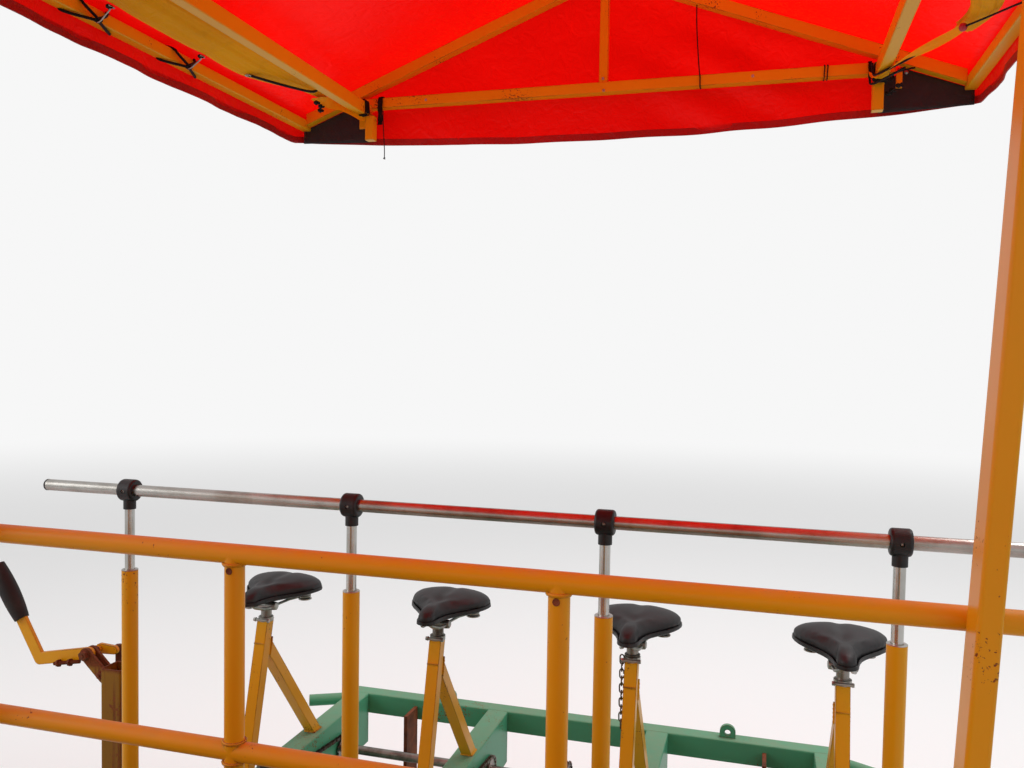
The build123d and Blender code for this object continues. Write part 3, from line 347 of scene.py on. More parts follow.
def meshPiece(name, verts, faces, material, body="trolley", smooth=True):
    mesh = bpy.data.meshes.new(name)
    mesh.from_pydata([tuple(v) for v in verts], [], faces)
    mesh.materials.append(material)
    if smooth:
        mesh.polygons.foreach_set("use_smooth", [True] * len(mesh.polygons))
    mesh.update()
    obj = bpy.data.objects.new(name, mesh)
    scene.collection.objects.link(obj)
    if body:
        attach(obj, body)
    return obj


class Heap:
    # vertices and faces of one piece, gathered shape by shape
    def __init__(self):
        self.verts = []
        self.faces = []

    def add(self, verts, faces):
        base = len(self.verts)
        self.verts += [Vector(v) for v in verts]
        self.faces += [tuple(base + i for i in f) for f in faces]

    def grid(self, rows, closed=False):
        n = len(rows[0])
        faces = []
        for i in range(len(rows) - 1):
            for j in range(n if closed else n - 1):
                k = (j + 1) % n
                faces.append((i * n + j, i * n + k, (i + 1) * n + k, (i + 1) * n + j))
        self.add([p for row in rows for p in row], faces)

    def capEnds(self, rings, sides):
        last = len(self.verts) - sides
        first = len(self.verts) - rings * sides
        self.faces.append(tuple(reversed(range(first, first + sides))))
        self.faces.append(tuple(range(last, last + sides)))

    def tube(self, path, radius, sides=8, caps=True):
        # radius is one number, or one for each point of the path
        path = [Vector(p) for p in path]
        rows = []
        side = None
        for i, p in enumerate(path):
            along = (path[min(i + 1, len(path) - 1)] - path[max(i - 1, 0)]).normalized()
            if side is None:
                side = along.orthogonal().normalized()
            side = (side - along * side.dot(along)).normalized()
            over = along.cross(side)
            r = radius[i] if isinstance(radius, list) else radius
            rows.append([p + side * r * cos(2 * pi * k / sides) + over * r * sin(2 * pi * k / sides)
                         for k in range(sides)])
        self.grid(rows, closed=True)
        if caps:
            self.capEnds(len(path), sides)

    def turned(self, origin, axis, profile, sides=16):
        # a profile of (distance along the axis, radius) turned round the axis
        origin, axis = Vector(origin), Vector(axis).normalized()
        side = axis.orthogonal().normalized()
        over = axis.cross(side)
        self.grid([[origin + axis * d + (side * cos(2 * pi * k / sides) + over * sin(2 * pi * k / sides)) * r
                    for k in range(sides)] for d, r in profile], closed=True)
        self.capEnds(len(profile), sides)

    def hexHead(self, origin, axis, across, height):
        # a flange, then a hexagon (0.577 of its width across flats from axis to corner) with a chamfer
        self.turned(origin, axis, [(0, across * 0.68), (height * 0.12, across * 0.68),
                                   (height * 0.121, across * 0.577), (height * 0.85, across * 0.577),
                                   (height, across * 0.5)], sides=6)

    def box(self, low, high):
        x0, y0, z0 = low
        x1, y1, z1 = high
        self.add([(x0, y0, z0), (x1, y0, z0), (x1, y1, z0), (x0, y1, z0),
                  (x0, y0, z1), (x1, y0, z1), (x1, y1, z1), (x0, y1, z1)],
                 [(0, 3, 2, 1), (4, 5, 6, 7), (0, 1, 5, 4), (1, 2, 6, 5), (2, 3, 7, 6), (3, 0, 4, 7)])

    def piece(self, name, material, body="trolley", smooth=True, creased=False):
        obj = meshPiece(name, self.verts, self.faces, material, body, smooth)
        if creased:  # edges of more than 35 degrees stay sharp
            obj.data.set_sharp_from_angle(angle=radians(35))
        return obj


def ripple(x, y, z, scale):
    return noise.noise(Vector((x * scale, y * scale, z * scale)))


def unit(value):
    return min(1, max(0, value))


# canopy: one sheet over both slopes, side hems and both gables
canopy = {"ridge": 2.67614, "slope": 0.383333, "halfWidth": 0.9903, "halfLength": 2.3068, "proud": 0.0018,
          "sideHem": 2.213, "cornerHem": 2.226, "midHem": 2.186, "sag": 0.016, "wrinkle": 0.0016,
          "rafterRows": (-2.29, -0.76, 0.76, 2.29), "hemBand": 0.020, "hemReach": 1.08, "hemSteps": 4,
          "acrossSteps": 96, "alongSteps": 220, "downSteps": 26,
          "fan": {"height": 0.0022, "reach": 0.34, "from": 0.35},  # creases from the eave over each rafter
          "belly": {"mean": 0.005, "wave": 0.0045, "ripple": 0.003, "held": 0.12},  # of the side hems
          "gable": {"bulge": 0.005, "fold": 0.0035, "wave": 0.011, "pull": 0.0055}}


def roofZ(x):
    return canopy["ridge"] - canopy["slope"] * abs(x)


def hemZ(x):
    rise = canopy["cornerHem"] - canopy["midHem"]
    radius = (rise ** 2 + canopy["halfWidth"] ** 2) / (2 * rise)
    return canopy["midHem"] + radius - sqrt(radius ** 2 - x * x)


def roofPoint(across, y):
    # across runs from -hemReach (left hem) over 0 (ridge) to hemReach
    half = canopy["halfWidth"]
    side = 1 if across >= 0 else -1
    reach = abs(across)
    if reach <= 1.0:
        rows = canopy["rafterRows"]
        bay = next(((a, b) for a, b in zip(rows, rows[1:]) if a <= y <= b), None)
        between = sin(pi * (y - bay[0]) / (bay[1] - bay[0])) if bay else 0.0
        x = side * reach * half
        spread = sin(pi * reach) ** 0.8 if reach > 0 else 0.0
        sag = canopy["sag"] * between * spread
        wave = canopy["wrinkle"] * (ripple(x, y * 0.6, 0, 5) + 0.5 * ripple(x, y, 3, 13)) * (0.25 + between)
        f = canopy["fan"]
        fan = 0.0
        for d in (abs(y - row) for row in rows):
            fan += f["height"] * cos(d * 55 + reach * 9) * max(0.0, 1 - d / f["reach"]) * max(0.0, reach - f["from"])
        return (x, y, roofZ(x) + canopy["proud"] - sag + (wave + fan) * (0.3 + 0.7 * between))
    drop = (reach - 1.0) / (canopy["hemReach"] - 1)
    top = roofZ(half) + canopy["proud"]
    z = top + (canopy["sideHem"] - top) * drop
    inset = canopy["halfLength"] - abs(y)
    b = canopy["belly"]
    loose = min(1.0, inset / b["held"])
    belly = (b["mean"] + b["wave"] * sin(y * 21 + side) + b["ripple"] * ripple(y * 2, 0, side, 9)) * drop * loose
    corner = (canopy["cornerHem"] - canopy["sideHem"]) * max(0.0, 1 - inset / 0.05)
    return (side * (half + belly), y, z + (0.004 * sin(y * 2.2) ** 2 * loose + corner) * drop)


def gablePoint(end, across, down):
    x = across * canopy["halfWidth"]
    top = roofPoint(across, end * canopy["halfLength"])
    z = top[2] + (hemZ(x) - top[2]) * down
    free = sin(pi * min(1, down)) if down < 0.5 else 1.0
    held = 1 - abs(across) ** 8
    g = canopy["gable"]
    bulge = g["bulge"] * free * (0.5 + 0.5 * sin(x * 7 + 0.6)) * held
    crease = g["fold"] * max(0.0, 1 - abs(x + 0.29 - (z - 2.5) * 0.5) / 0.02) * free * held  # a pressed fold
    pull = sin((x * 0.9 + (z - 2.3) * 1.6) * 26) * max(0.0, 1 - abs(x - 0.35) / 0.35)  # drawn by the tie cord
    wave = (g["wave"] * (0.5 + ripple(x * 1.4, z * 0.8, end, 4)) + g["pull"] * pull) * free * held
    return (x, end * (canopy["halfLength"] + bulge + crease + wave), z)


def hemRow(p, out):
    # section of the doubled band that is welded round every lower edge
    top = canopy["hemBand"]
    return [p + out * 0.0014 + Vector((0, 0, top)), p + out * 0.0016 + Vector((0, 0, -0.0006)),
            p - out * 0.0014 + Vector((0, 0, -0.0006)), p - out * 0.0012 + Vector((0, 0, top))]


hemPlaces = [1 + (canopy["hemReach"] - 1) * k / canopy["hemSteps"] for k in range(1, canopy["hemSteps"] + 1)]
slopePlaces = [-1 + 2 * i / canopy["acrossSteps"] for i in range(canopy["acrossSteps"] + 1)]
alongPlaces = [canopy["halfLength"] * (2 * i / canopy["alongSteps"] - 1) for i in range(canopy["alongSteps"] + 1)]
sheet, band = Heap(), Heap()
sheet.grid([[roofPoint(a, y) for a in [-h for h in reversed(hemPlaces)] + slopePlaces + hemPlaces]
            for y in alongPlaces])
for end in (1, -1):
    sheet.grid([[gablePoint(end, a, k / canopy["downSteps"]) for a in slopePlaces]
                for k in range(canopy["downSteps"] + 1)])
    band.grid([hemRow(Vector(gablePoint(end, a, 1.0)), Vector((0, end, 0))) for a in slopePlaces], closed=True)
for side in (1, -1):
    band.grid([hemRow(Vector(roofPoint(side * canopy["hemReach"], y)), Vector((side, 0, 0))) for y in alongPlaces],
              closed=True)
canopySheet = sheet.piece("canopySheet", redTarpaulin)
welder = canopySheet.modifiers.new("weld", "WELD")
welder.merge_threshold = 0.0004
canopyHemBand = band.piece("canopyHemBand", redHemWebbingPaintedShade, smooth=False)
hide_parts("canopy_roof", "canopy_gable_front", "canopy_gable_rear")


# black reinforcement patches in the upper corners of both gables, cut to the rafter and the tie
patch = {"inner": 0.750, "step": 0.790, "outer": 0.984, "low": 2.222, "lowSkew": 0.008, "tieLow": 2.310,
         "rafterLow": 2.6399, "y": 2.3035, "skew": 0.0015, "across": 18, "up": 10, "cloth": 0.0012}


def cornerPatch(side, end, name):
    rows = []
    for i in range(patch["across"] + 1):
        t = i / patch["across"]
        x = patch["inner"] + (patch["outer"] - patch["inner"]) * t
        top = patch["tieLow"] if x < patch["step"] else patch["rafterLow"] - canopy["slope"] * x
        low = patch["low"] - patch["lowSkew"] * (1 - t)
        rows.append([(side * x, end * (patch["y"] + patch["skew"] * ripple(x * 3, k / 10, side + 2 * end, 6)),
                      low + (top - low) * k / patch["up"]) for k in range(patch["up"] + 1)])
    heap = Heap()
    heap.grid(rows)
    obj = heap.piece(name, blackReinforcement)
    thick = obj.modifiers.new("cloth", "SOLIDIFY")
    thick.thickness = patch["cloth"]
    thick.offset = 0
    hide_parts("corner_patches")


for side, sideName in ((-1, "Left"), (1, "Right")):
    for end, endName in ((1, "Front"), (-1, "Rear")):
        cornerPatch(side, end, f"cornerPatch{sideName}{endName}")
print("corner patches placed")


# side curtains, folded lengthwise in flat layers and tied up under the rafters; each has a long end that is
# tied to the beam and a short one that a ball tie draws to a point
curtain = {"x": 0.824, "z": 2.2940, "halfWidth": 0.061, "halfThick": 0.0225, "tailWidth": 0.022,
           "tailThick": 0.011, "folds": 5, "layerSteps": 40, "stations": 150,
           "longEnd": {"straight": 1.74, "tail": 2.09, "tailX": 0.796, "rise": 0.010, "pull": 0.0},
           "shortEnd": {"straight": 1.58, "tail": 1.890, "tailX": 0.874, "rise": -0.012, "pull": 0.036},
           "creases": (-0.72, -0.52, -0.34, -0.12, 0.55), "creaseHalf": 0.06, "creaseDepth": 0.16, "puff": 0.20,
           "tieReach": 0.09, "tieWidth": 0.07, "tieThick": 0.12,
           "ties": (-1.98, -1.62, -1.31, -0.4, 0.4, 1.31, 1.62, 1.98)}


def curtainEnd(side, along):
    return curtain["shortEnd" if side * along > 0 else "longEnd"]


def curtainPoint(side, along, s):
    # s runs over the folded width of the cloth, 0 to 1, along over the length in metres
    c = curtain
    e = curtainEnd(side, along)
    past = max(0.0, (abs(along) - e["straight"]) / (e["tail"] - e["straight"]))
    blend = past * past * (3 - 2 * past)
    x0 = c["x"] + (e["tailX"] - c["x"]) * blend + e["pull"] * sin(pi * min(1, past))
    z0 = c["z"] + e["rise"] * blend
    pinch = min(1, sum(max(0.0, 1 - abs(along - t) / c["tieReach"]) ** 2 for t in c["ties"]))
    halfWidth = (c["halfWidth"] + (c["tailWidth"] - c["halfWidth"]) * blend) * (1 - c["tieWidth"] * pinch)
    halfThick = (c["halfThick"] + (c["tailThick"] - c["halfThick"]) * blend) * (1 - c["tieThick"] * pinch)
    run = s * c["folds"]
    layer = min(c["folds"] - 1, int(run))
    t = run - layer
    swing = -cos(pi * t) if layer % 2 == 0 else cos(pi * t)
    edge = 0.80 + 0.2 * noise.noise(Vector((along * 1.1, layer * 3.1, side * 7))) + 0.05 * cos(layer * 2.2)
    u = max(-1, min(1, swing * edge))
    lift = (layer + t ** 3) / c["folds"] * 2 - 1
    room = sqrt(max(0.0, 1 - u * u)) * 0.9 + 0.1
    w = lift * room * (1 - 0.1 * abs(u))
    w += c["puff"] * (abs(sin(u * 5.5 + along * 0.5 + layer * 1.9)) - 0.6) * room
    for n, crease in enumerate(c["creases"]):  # pressed lines that run along the roll
        near = (u - crease - 0.03 * sin(along * 1.3 + n * 2.1)) / c["creaseHalf"]
        depth = c["creaseDepth"] * (0.6 + 0.4 * sin(along * 2.3 + n))
        w += depth * max(0.0, 1 - near * near) * (1 if lift < 0 else -1)
    x = u * halfWidth
    z = w * halfThick
    tilt = atan(canopy["slope"])
    return Vector((side * (x0 + x * cos(tilt) + z * sin(tilt) * 0.3), along, z0 - x * sin(tilt) + z * cos(tilt)))


def sideCurtain(side, name):
    rows = []
    across = curtain["folds"] * curtain["layerSteps"]
    rearTail, frontTail = (curtainEnd(side, end)["tail"] for end in (-1, 1))
    for i in range(curtain["stations"] + 1):
        along = -rearTail + (rearTail + frontTail) * i / curtain["stations"]
        rows.append([curtainPoint(side, along, k / across) for k in range(across + 1)])
    heap = Heap()
    heap.grid(rows)
    obj = heap.piece(name, ochreCurtain)
    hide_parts("side_curtains")


sideCurtain(-1, "sideCurtainLeft")
sideCurtain(1, "sideCurtainRight")
print("side curtains folded")


# saddles: a sprung touring saddle with a padded vinyl top over rails and two coil springs
saddle = {"rearY": 1.6604, "noseY": 1.5404, "rearRadius": 0.106, "noseRadius": 0.024, "top": 0.978,
          "padBase": 0.940, "padRim": 0.974, "middleY": 1.615, "length": 0.25, "postY": 1.6154, "voxel": 0.0085,
          "cap": 0.006, "pressure": 4, "settle": 20, "around": 40, "xs": (-0.688, -0.238, 0.213, 0.642),
          "channel": {"depth": 0.0055, "half": 0.011, "from": 0.955, "over": 0.012}}
# each ring of the pad: share that it is drawn in from the outline, share of the height
padRings = ((0.25, 0.0), (0.04, 0.06), (0.0, 0.28), (0.015, 0.55), (0.09, 0.80), (0.26, 0.95), (0.58, 1.0),
            (0.96, 1.0))
tipY = saddle["noseY"] - saddle["noseRadius"]


def saddleOutline(angleStep, shrink):
    # plan of the pad round its edge: a wide rear arc blended into a narrow nose
    length = saddle["rearY"] + saddle["rearRadius"] - saddle["noseY"] + saddle["noseRadius"]
    t = 0.5 - 0.5 * cos(angleStep)          # 0 at the nose, 1 at the rear
    nose = saddle["noseRadius"] * sqrt(max(0.0, 1 - max(0.0, 1 - t / 0.10) ** 2))
    flare = 1 / (1 + exp(-(t - 0.44) * 10))
    wide = nose + (saddle["rearRadius"] - saddle["noseRadius"]) * flare
    rear = sqrt(max(0.0, 1 - max(0.0, (t - 0.72) / 0.28) ** 2.6))
    return tipY + length * t, wide * rear - shrink


def outlineSteps(shrink, least):
    # (side, y, half width) for each point round the edge
    for k in range(saddle["around"]):
        a = 2 * pi * k / saddle["around"]
        y, half = saddleOutline(pi - abs(a - pi), shrink)
        yield 1 if a < pi else -1, y, max(half, least)


def evaluatedMesh(obj):
    fine = bpy.data.meshes.new_from_object(obj.evaluated_get(bpy.context.evaluated_depsgraph_get()))
    obj.modifiers.clear()
    return fine


def buildSaddlePad():
    heap = Heap()
    rings = []
    n = saddle["around"]
    for inset, rise in padRings:
        ring = []
        for k, (side, y, half) in enumerate(outlineSteps(0.004, 0.0005)):
            t = (y - tipY) / saddle["length"]
            crown = 0.004 * sin(pi * unit(t)) * -1 + 0.006 * max(0.0, t - 0.62)
            ring.append((side * half * (1 - inset) * (0.0 if k in (0, n // 2) else 1),
                         saddle["middleY"] + (y - saddle["middleY"]) * (1 - inset * 0.85) - saddle["postY"],
                         saddle["padBase"] + (saddle["padRim"] - saddle["padBase"]) * rise + crown * rise))
        rings.append(ring)
    heap.grid(rings, closed=True)
    heap.capEnds(len(rings), n)
    obj = heap.piece("saddlePadBuild", saddleVinyl, body=None)
    remesh = obj.modifiers.new("voxels", "REMESH")
    remesh.mode = "VOXEL"
    remesh.voxel_size = saddle["voxel"]
    obj.data = evaluatedMesh(obj)
    before = [v.co.copy() for v in obj.data.vertices]
    cloth = obj.modifiers.new("padding", "CLOTH")
    cloth.settings.use_pressure = True
    cloth.settings.uniform_pressure_force = saddle["pressure"]
    cloth.settings.effector_weights.gravity = 0
    cloth.settings.quality = 5
    cloth.point_cache.frame_start = 1
    cloth.point_cache.frame_end = saddle["settle"]
    for step in range(1, saddle["settle"] + 1):
        scene.frame_set(step)
    puffed = evaluatedMesh(obj)
    for v, old in zip(puffed.vertices, before):
        move = v.co - old
        if move.length > saddle["cap"]:
            v.co = old + move.normalized() * saddle["cap"]
    obj.data = puffed
    scene.frame_set(1)
    channel = saddle["channel"]
    for v in obj.data.vertices:  # the channel down the middle of the top
        t = (v.co.y + saddle["postY"] - tipY) / saddle["length"]
        topShare = unit((v.co.z - channel["from"]) / channel["over"])
        v.co.z -= channel["depth"] * topShare * exp(-(v.co.x / channel["half"]) ** 2) * sin(pi * unit(t)) ** 0.5
        v.co.z = min(v.co.z, saddle["top"] + 0.004)
    smooth = obj.modifiers.new("smooth", "SUBSURF")
    smooth.levels = 1
    smooth.render_levels = 1
    final = evaluatedMesh(obj)
    bpy.data.objects.remove(obj)
    final.polygons.foreach_set("use_smooth", [True] * len(final.polygons))
    return final


padMesh = buildSaddlePad()
padMesh.materials.clear()
padMesh.materials.append(saddleVinyl)
# a rail runs from the nose under the clamp and up to the rear bridge
saddleRail = ((0.006, -0.082, 0.944), (0.012, -0.070, 0.934), (0.019, -0.045, 0.925), (0.021, -0.015, 0.921),
              (0.021, 0.025, 0.921), (0.030, 0.055, 0.924), (0.048, 0.078, 0.927))
spring = {"x": 0.056, "y": 0.088, "low": 0.922, "rise": 0.0235, "radius": 0.013, "wire": 0.0022, "turns": 4.5,
          "steps": 60, "cupZ": 0.9175, "cup": [(0, 0.006), (0.001, 0.0165), (0.0035, 0.0165), (0.0045, 0.006)]}
railClamp = {"half": 0.030, "z": 0.9215, "profile": [(0, 0.006), (0.002, 0.0095), (0.010, 0.0105), (0.050, 0.0105),
                                                     (0.058, 0.0095), (0.060, 0.006)]}
railRadius = 0.0035
shellRings = ((0.10, 0.9405), (0.02, 0.943), (0.03, 0.950), (0.08, 0.9505))  # share drawn in, height
saddleFittings, saddleShell = Heap(), Heap()
for end, endName in ((1, "Front"), (-1, "Rear")):
    for i, x in enumerate(saddle["xs"]):
        pad = bpy.data.objects.new(f"saddlePad{endName}{i + 1}", padMesh)
        pad.matrix_world = Matrix.Translation((x, end * saddle["postY"], 0)) @ Matrix.Rotation(
            0 if end == 1 else pi, 4, "Z")
        scene.collection.objects.link(pad)
        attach(pad, "trolley")
        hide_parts("saddles")
        y0 = saddle["postY"]
        for side in (1, -1):
            saddleFittings.tube([(x + side * dx, end * (y0 + dy), z) for dx, dy, z in saddleRail], railRadius)
            coil = []
            for k in range(spring["steps"] + 1):
                a = 2 * pi * spring["turns"] * k / spring["steps"]
                coil.append((x + side * spring["x"] + spring["radius"] * cos(a),
                             end * (y0 + spring["y"]) + spring["radius"] * sin(a),
                             spring["low"] + spring["rise"] * k / spring["steps"]))
            saddleFittings.tube(coil, spring["wire"], sides=6)
            saddleFittings.turned((x + side * spring["x"], end * (y0 + spring["y"]), spring["cupZ"]), (0, 0, 1),
                                  spring["cup"], sides=18)
        saddleFittings.turned((x - railClamp["half"], end * y0, railClamp["z"]), (1, 0, 0), railClamp["profile"],
                              sides=14)
        rows = [[(x + side * half * (1 - inset), end * (y0 + (y - y0) * (1 - inset * 0.8)), z)
                 for side, y, half in outlineSteps(0.003, 0.001)]
                for inset, z in shellRings]
        saddleShell.grid(rows, closed=True)  # moulded base under each pad
        low = len(saddleShell.verts) - len(rows) * saddle["around"]
        saddleShell.faces.append(tuple(range(low, low + saddle["around"])))
saddleFittings.piece("saddleRailsAndSprings", zincPlate, creased=True)
saddleShell.piece("saddleShells", mouldedNylon, creased=True)
print("saddles:", 2 * len(saddle["xs"]), "pads,", len(padMesh.polygons), "faces each")


# roller chains laid link by link over the sprockets
chain = {"pitch": 0.0127, "plateHalf": 0.0044, "plateThick": 0.0011, "waist": 0.72, "inner": 0.0025,
         "outer": 0.0037, "pinRadius": 0.0020, "pinProud": 0.0006, "lift": 0.0022, "bbY": 1.510, "bbZ": 0.426,
         "layY": 1.950, "axleY": 1.850, "axleZ": 0.177, "wheel": 0.076, "lay": 0.032, "final": 0.045,
         "offset": 0.037, "finalWiden": 1.35}
sillXs = (-0.685, -0.245, 0.215, 0.655)


def rimPoint(circle, angle):
    y, z, radius = circle
    return y + radius * cos(angle), z + radius * sin(angle)


def between(p, q, share):
    return tuple(u + (v - u) * share for u, v in zip(p, q))


def beltPath(a, b):
    # closed outer-tangent path round two circles (y, z, radius), as points one pitch apart
    (ay, az, ra), (by, bz, rb) = a, b
    straight = sqrt((by - ay) ** 2 + (bz - az) ** 2 - (ra - rb) ** 2)
    base = atan2(bz - az, by - ay)
    lean = atan2(straight, ra - rb)
    arcA = (2 * pi - 2 * lean) * ra
    arcB = 2 * lean * rb
    total = arcA + arcB + 2 * straight
    links = 2 * round(total / chain["pitch"] / 2)
    points = []
    for i in range(links):
        s = total * i / links
        if s < arcA:
            point = rimPoint(a, base + lean + s / ra)
        elif s < arcA + straight:
            point = between(rimPoint(a, base - lean), rimPoint(b, base - lean), (s - arcA) / straight)
        elif s < arcA + straight + arcB:
            point = rimPoint(b, base - lean + (s - arcA - straight) / rb)
        else:
            point = between(rimPoint(b, base + lean), rimPoint(a, base + lean),
                            (s - arcA - straight - arcB) / straight)
        points.append(point)
    return points


def addChain(heap, x, path, widen=1.0):
    n = len(path)
    half = chain["plateHalf"]
    reach = (chain["outer"] + chain["plateThick"] + chain["pinProud"]) * widen
    for i in range(n):
        p, q = Vector((0, *path[i])), Vector((0, *path[(i + 1) % n]))
        along = (q - p).normalized()
        over = Vector((0, -along.z, along.y))
        gapX = (chain["inner"] if i % 2 else chain["outer"]) * widen
        outline = []  # a figure of eight: a half circle round each pin, drawn in at the waist
        for pin, start, waist in ((p, pi / 2, -chain["waist"]), (q, -pi / 2, chain["waist"])):
            for a in (start + pi * k / 4 for k in range(5)):
                outline.append(pin + along * cos(a) * half + over * sin(a) * half)
            outline.append((p + q) / 2 + over * half * waist)
        m = len(outline)
        for side in (1, -1):
            near = [Vector((x + side * gapX, v.y, v.z)) for v in outline]
            far = [Vector((x + side * (gapX + chain["plateThick"]), v.y, v.z)) for v in outline]
            faces = [tuple(range(m)), tuple(range(2 * m - 1, m - 1, -1))]
            faces += [(k, m + k, m + (k + 1) % m, (k + 1) % m) for k in range(m)]
            heap.add(near + far, faces)
        heap.tube([(x - reach, p.y, p.z), (x + reach, p.y, p.z)], chain["pinRadius"], sides=6)


pedalChains, axleChains = Heap(), Heap()
for end in (1, -1):
    crank = (end * chain["bbY"], chain["bbZ"], chain["wheel"] + chain["lift"])
    shaft = (end * chain["layY"], chain["bbZ"], chain["lay"] + chain["lift"])
    for x in sillXs:
        addChain(pedalChains, x + chain["offset"], beltPath(crank, shaft))
    shaft = (end * chain["layY"], chain["bbZ"], chain["final"] + chain["lift"])
    axle = (end * chain["axleY"], chain["axleZ"], chain["final"] + chain["lift"])
    addChain(axleChains, 0.0, beltPath(shaft, axle), chain["finalWiden"])
for heap, name in ((pedalChains, "pedal_chains"), (axleChains, "axle_chains")):
    obj = heap.piece("rollerLinks_" + name, oiledChain, smooth=False)
    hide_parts(name)
    print("chain", name, len(obj.data.polygons), "faces")


# welds, bolts and screws
weld = {"bead": 0.0026, "ripple": 0.004, "swell": (0.85, 1.15), "deck": 0.515, "tubeY": 1.144,
        "tubeRadius": 0.0155, "stemHalf": 0.0145, "stemFeet": ((1.522, 0.0150), (1.850, 0.0190)),
        "braceY": 1.6145, "braceZ": 0.822, "braceHalf": (0.004, 0.020), "postX": 0.667, "postHalf": (0.0132, 0.0257),
        "balusterX": 0.232, "balusterY": 0.799, "balusterRadius": 0.0150, "balusterZs": (1.2440, 0.9925, 0.9635),
        "crossYs": (0.785, 1.144), "seam": 0.0024, "seamX": 0.0305, "seamLow": 0.400, "seamStep": 0.007}
bolt = {"collarY": 1.6132, "collarZ": 0.884, "pinchY": 1.5952, "pinchZ": 0.890, "pinchHalf": 0.016,
        "blockX": 0.6198, "blockSize": (0.010, 0.006),
        "blockAt": ((-0.030, -0.022), (0.030, -0.022), (-0.030, 0.022), (0.030, 0.022)),
        "slatX": 0.540, "slatYs": (0.370, 0.474, 0.578, 0.682), "slatZ": 0.9298,
        "boards": 10, "boardX": -0.6477, "boardStep": 0.1406, "boardYs": (-0.705, -0.352, 0.0, 0.352, 0.705),
        "boardZ": 0.5418, "screwX": 0.042, "postY": 0.760, "postZ": 2.302,
        "postEnds": ((0.7605, 1, 0.008), (0.7315, -1, 0.009)), "tieY": 2.2755,
        "tieScrews": ((0.0, 2.352), (0.003, 2.318), (-0.55, 2.327), (0.42, 2.329))}
# profiles for turned(): distance along the axis, radius
collarProfile = [(0, 0.0165), (0.001, 0.0180), (0.011, 0.0180), (0.012, 0.0165), (0.0121, 0.0133)]
coachProfile = [(0, 0.0085), (0.0006, 0.0085), (0.0022, 0.0070), (0.0032, 0.0042), (0.0036, 0.001)]
sunkProfile = [(0, 0.0048), (0.0005, 0.0048), (0.0009, 0.0040), (0.0003, 0.0016), (0.0002, 0.0005)]
tieProfile = [(0, 0.0042), (0.0012, 0.0042), (0.0020, 0.0030), (0.0012, 0.0012)]
corners = ((-1, -1), (1, -1), (1, 1), (-1, 1))
stemXs = (-0.688, -0.238, 0.213, 0.642)
tubeXs = (-0.694, -0.225, 0.229, 0.673)


def weldLoop(heap, loop):
    # a closed, rippled fillet
    points = []
    for i, p in enumerate(loop):
        p, q = Vector(p), Vector(loop[(i + 1) % len(loop)])
        steps = max(1, round((q - p).length / weld["ripple"]))
        points += [p.lerp(q, k / steps) for k in range(steps)]
    rows = []
    n = len(points)
    middle = sum(points, Vector()) / n
    for i, p in enumerate(points):
        along = (points[(i + 1) % n] - points[i - 1]).normalized()
        out = (p - middle - along * (p - middle).dot(along)).normalized()
        over = along.cross(out)
        r = weld["bead"] * weld["swell"][i % 2]
        rows.append([p + out * r * cos(a) + over * r * sin(a) for a in (2 * pi * k / 5 for k in range(5))])
    rows.append(rows[0])
    heap.grid(rows, closed=True)


def squareLoop(x, y, z, halfX, halfY):
    return [(x + a * halfX, y + b * halfY, z) for a, b in corners]


def ringLoop(x, y, z, radius, count=26):
    return [(x + radius * cos(2 * pi * k / count), y + radius * sin(2 * pi * k / count), z) for k in range(count)]


yellowWelds, greenWelds, steelBolts, rustyBolts, boardScrews = Heap(), Heap(), Heap(), Heap(), Heap()
for end in (1, -1):
    for x in tubeXs:
        weldLoop(yellowWelds, ringLoop(x, end * weld["tubeY"], weld["deck"], weld["tubeRadius"]))
    for x in stemXs:
        for y, halfY in weld["stemFeet"]:
            weldLoop(yellowWelds, squareLoop(x, end * y, weld["deck"], weld["stemHalf"], halfY))
        # where the brace meets the stem
        halfY, halfZ = weld["braceHalf"]
        weldLoop(yellowWelds, [(x + a * weld["stemHalf"], end * (weld["braceY"] + b * halfY),
                                weld["braceZ"] + b * halfZ) for a, b in corners])
        # seat post clamp: split collar with its pinch bolt
        steelBolts.turned((x, end * bolt["collarY"], bolt["collarZ"]), (0, 0, 1), collarProfile, sides=24)
        half, pinch = bolt["pinchHalf"], (end * bolt["pinchY"], bolt["pinchZ"])
        steelBolts.turned((x - half, *pinch), (1, 0, 0), [(0, 0.0035), (2 * half, 0.0035)], sides=10)
        steelBolts.hexHead((x + half, *pinch), (1, 0, 0), 0.0085, 0.005)
        steelBolts.hexHead((x - half, *pinch), (-1, 0, 0), 0.0085, 0.006)
    for side in (1, -1):
        weldLoop(yellowWelds, squareLoop(side * weld["postX"], end * bolt["postY"], weld["deck"], *weld["postHalf"]))
        for z in weld["balusterZs"]:
            weldLoop(yellowWelds, ringLoop(side * weld["balusterX"], end * weld["balusterY"], z,
                                           weld["balusterRadius"]))
        # bolts that hold the bearing blocks under the axle beams
        for dy, dz in bolt["blockAt"]:
            steelBolts.hexHead((side * bolt["blockX"], end * chain["axleY"] + dy, chain["axleZ"] + dz),
                               (side, 0, 0), *bolt["blockSize"])
    # cross tubes let into the sills
    for x in sillXs:
        for y in weld["crossYs"]:
            for side in (1, -1):
                greenWelds.tube([(x + side * weld["seamX"], end * y + 0.031, weld["seamLow"] + k * weld["seamStep"])
                                 for k in range(16)], [weld["seam"] * weld["swell"][k % 2] for k in range(16)],
                                sides=5)
    for y in bolt["slatYs"]:  # coach bolts of the bench slats
        for side in (1, -1):
            steelBolts.turned((side * bolt["slatX"], end * y, bolt["slatZ"]), (0, 0, 1), coachProfile)
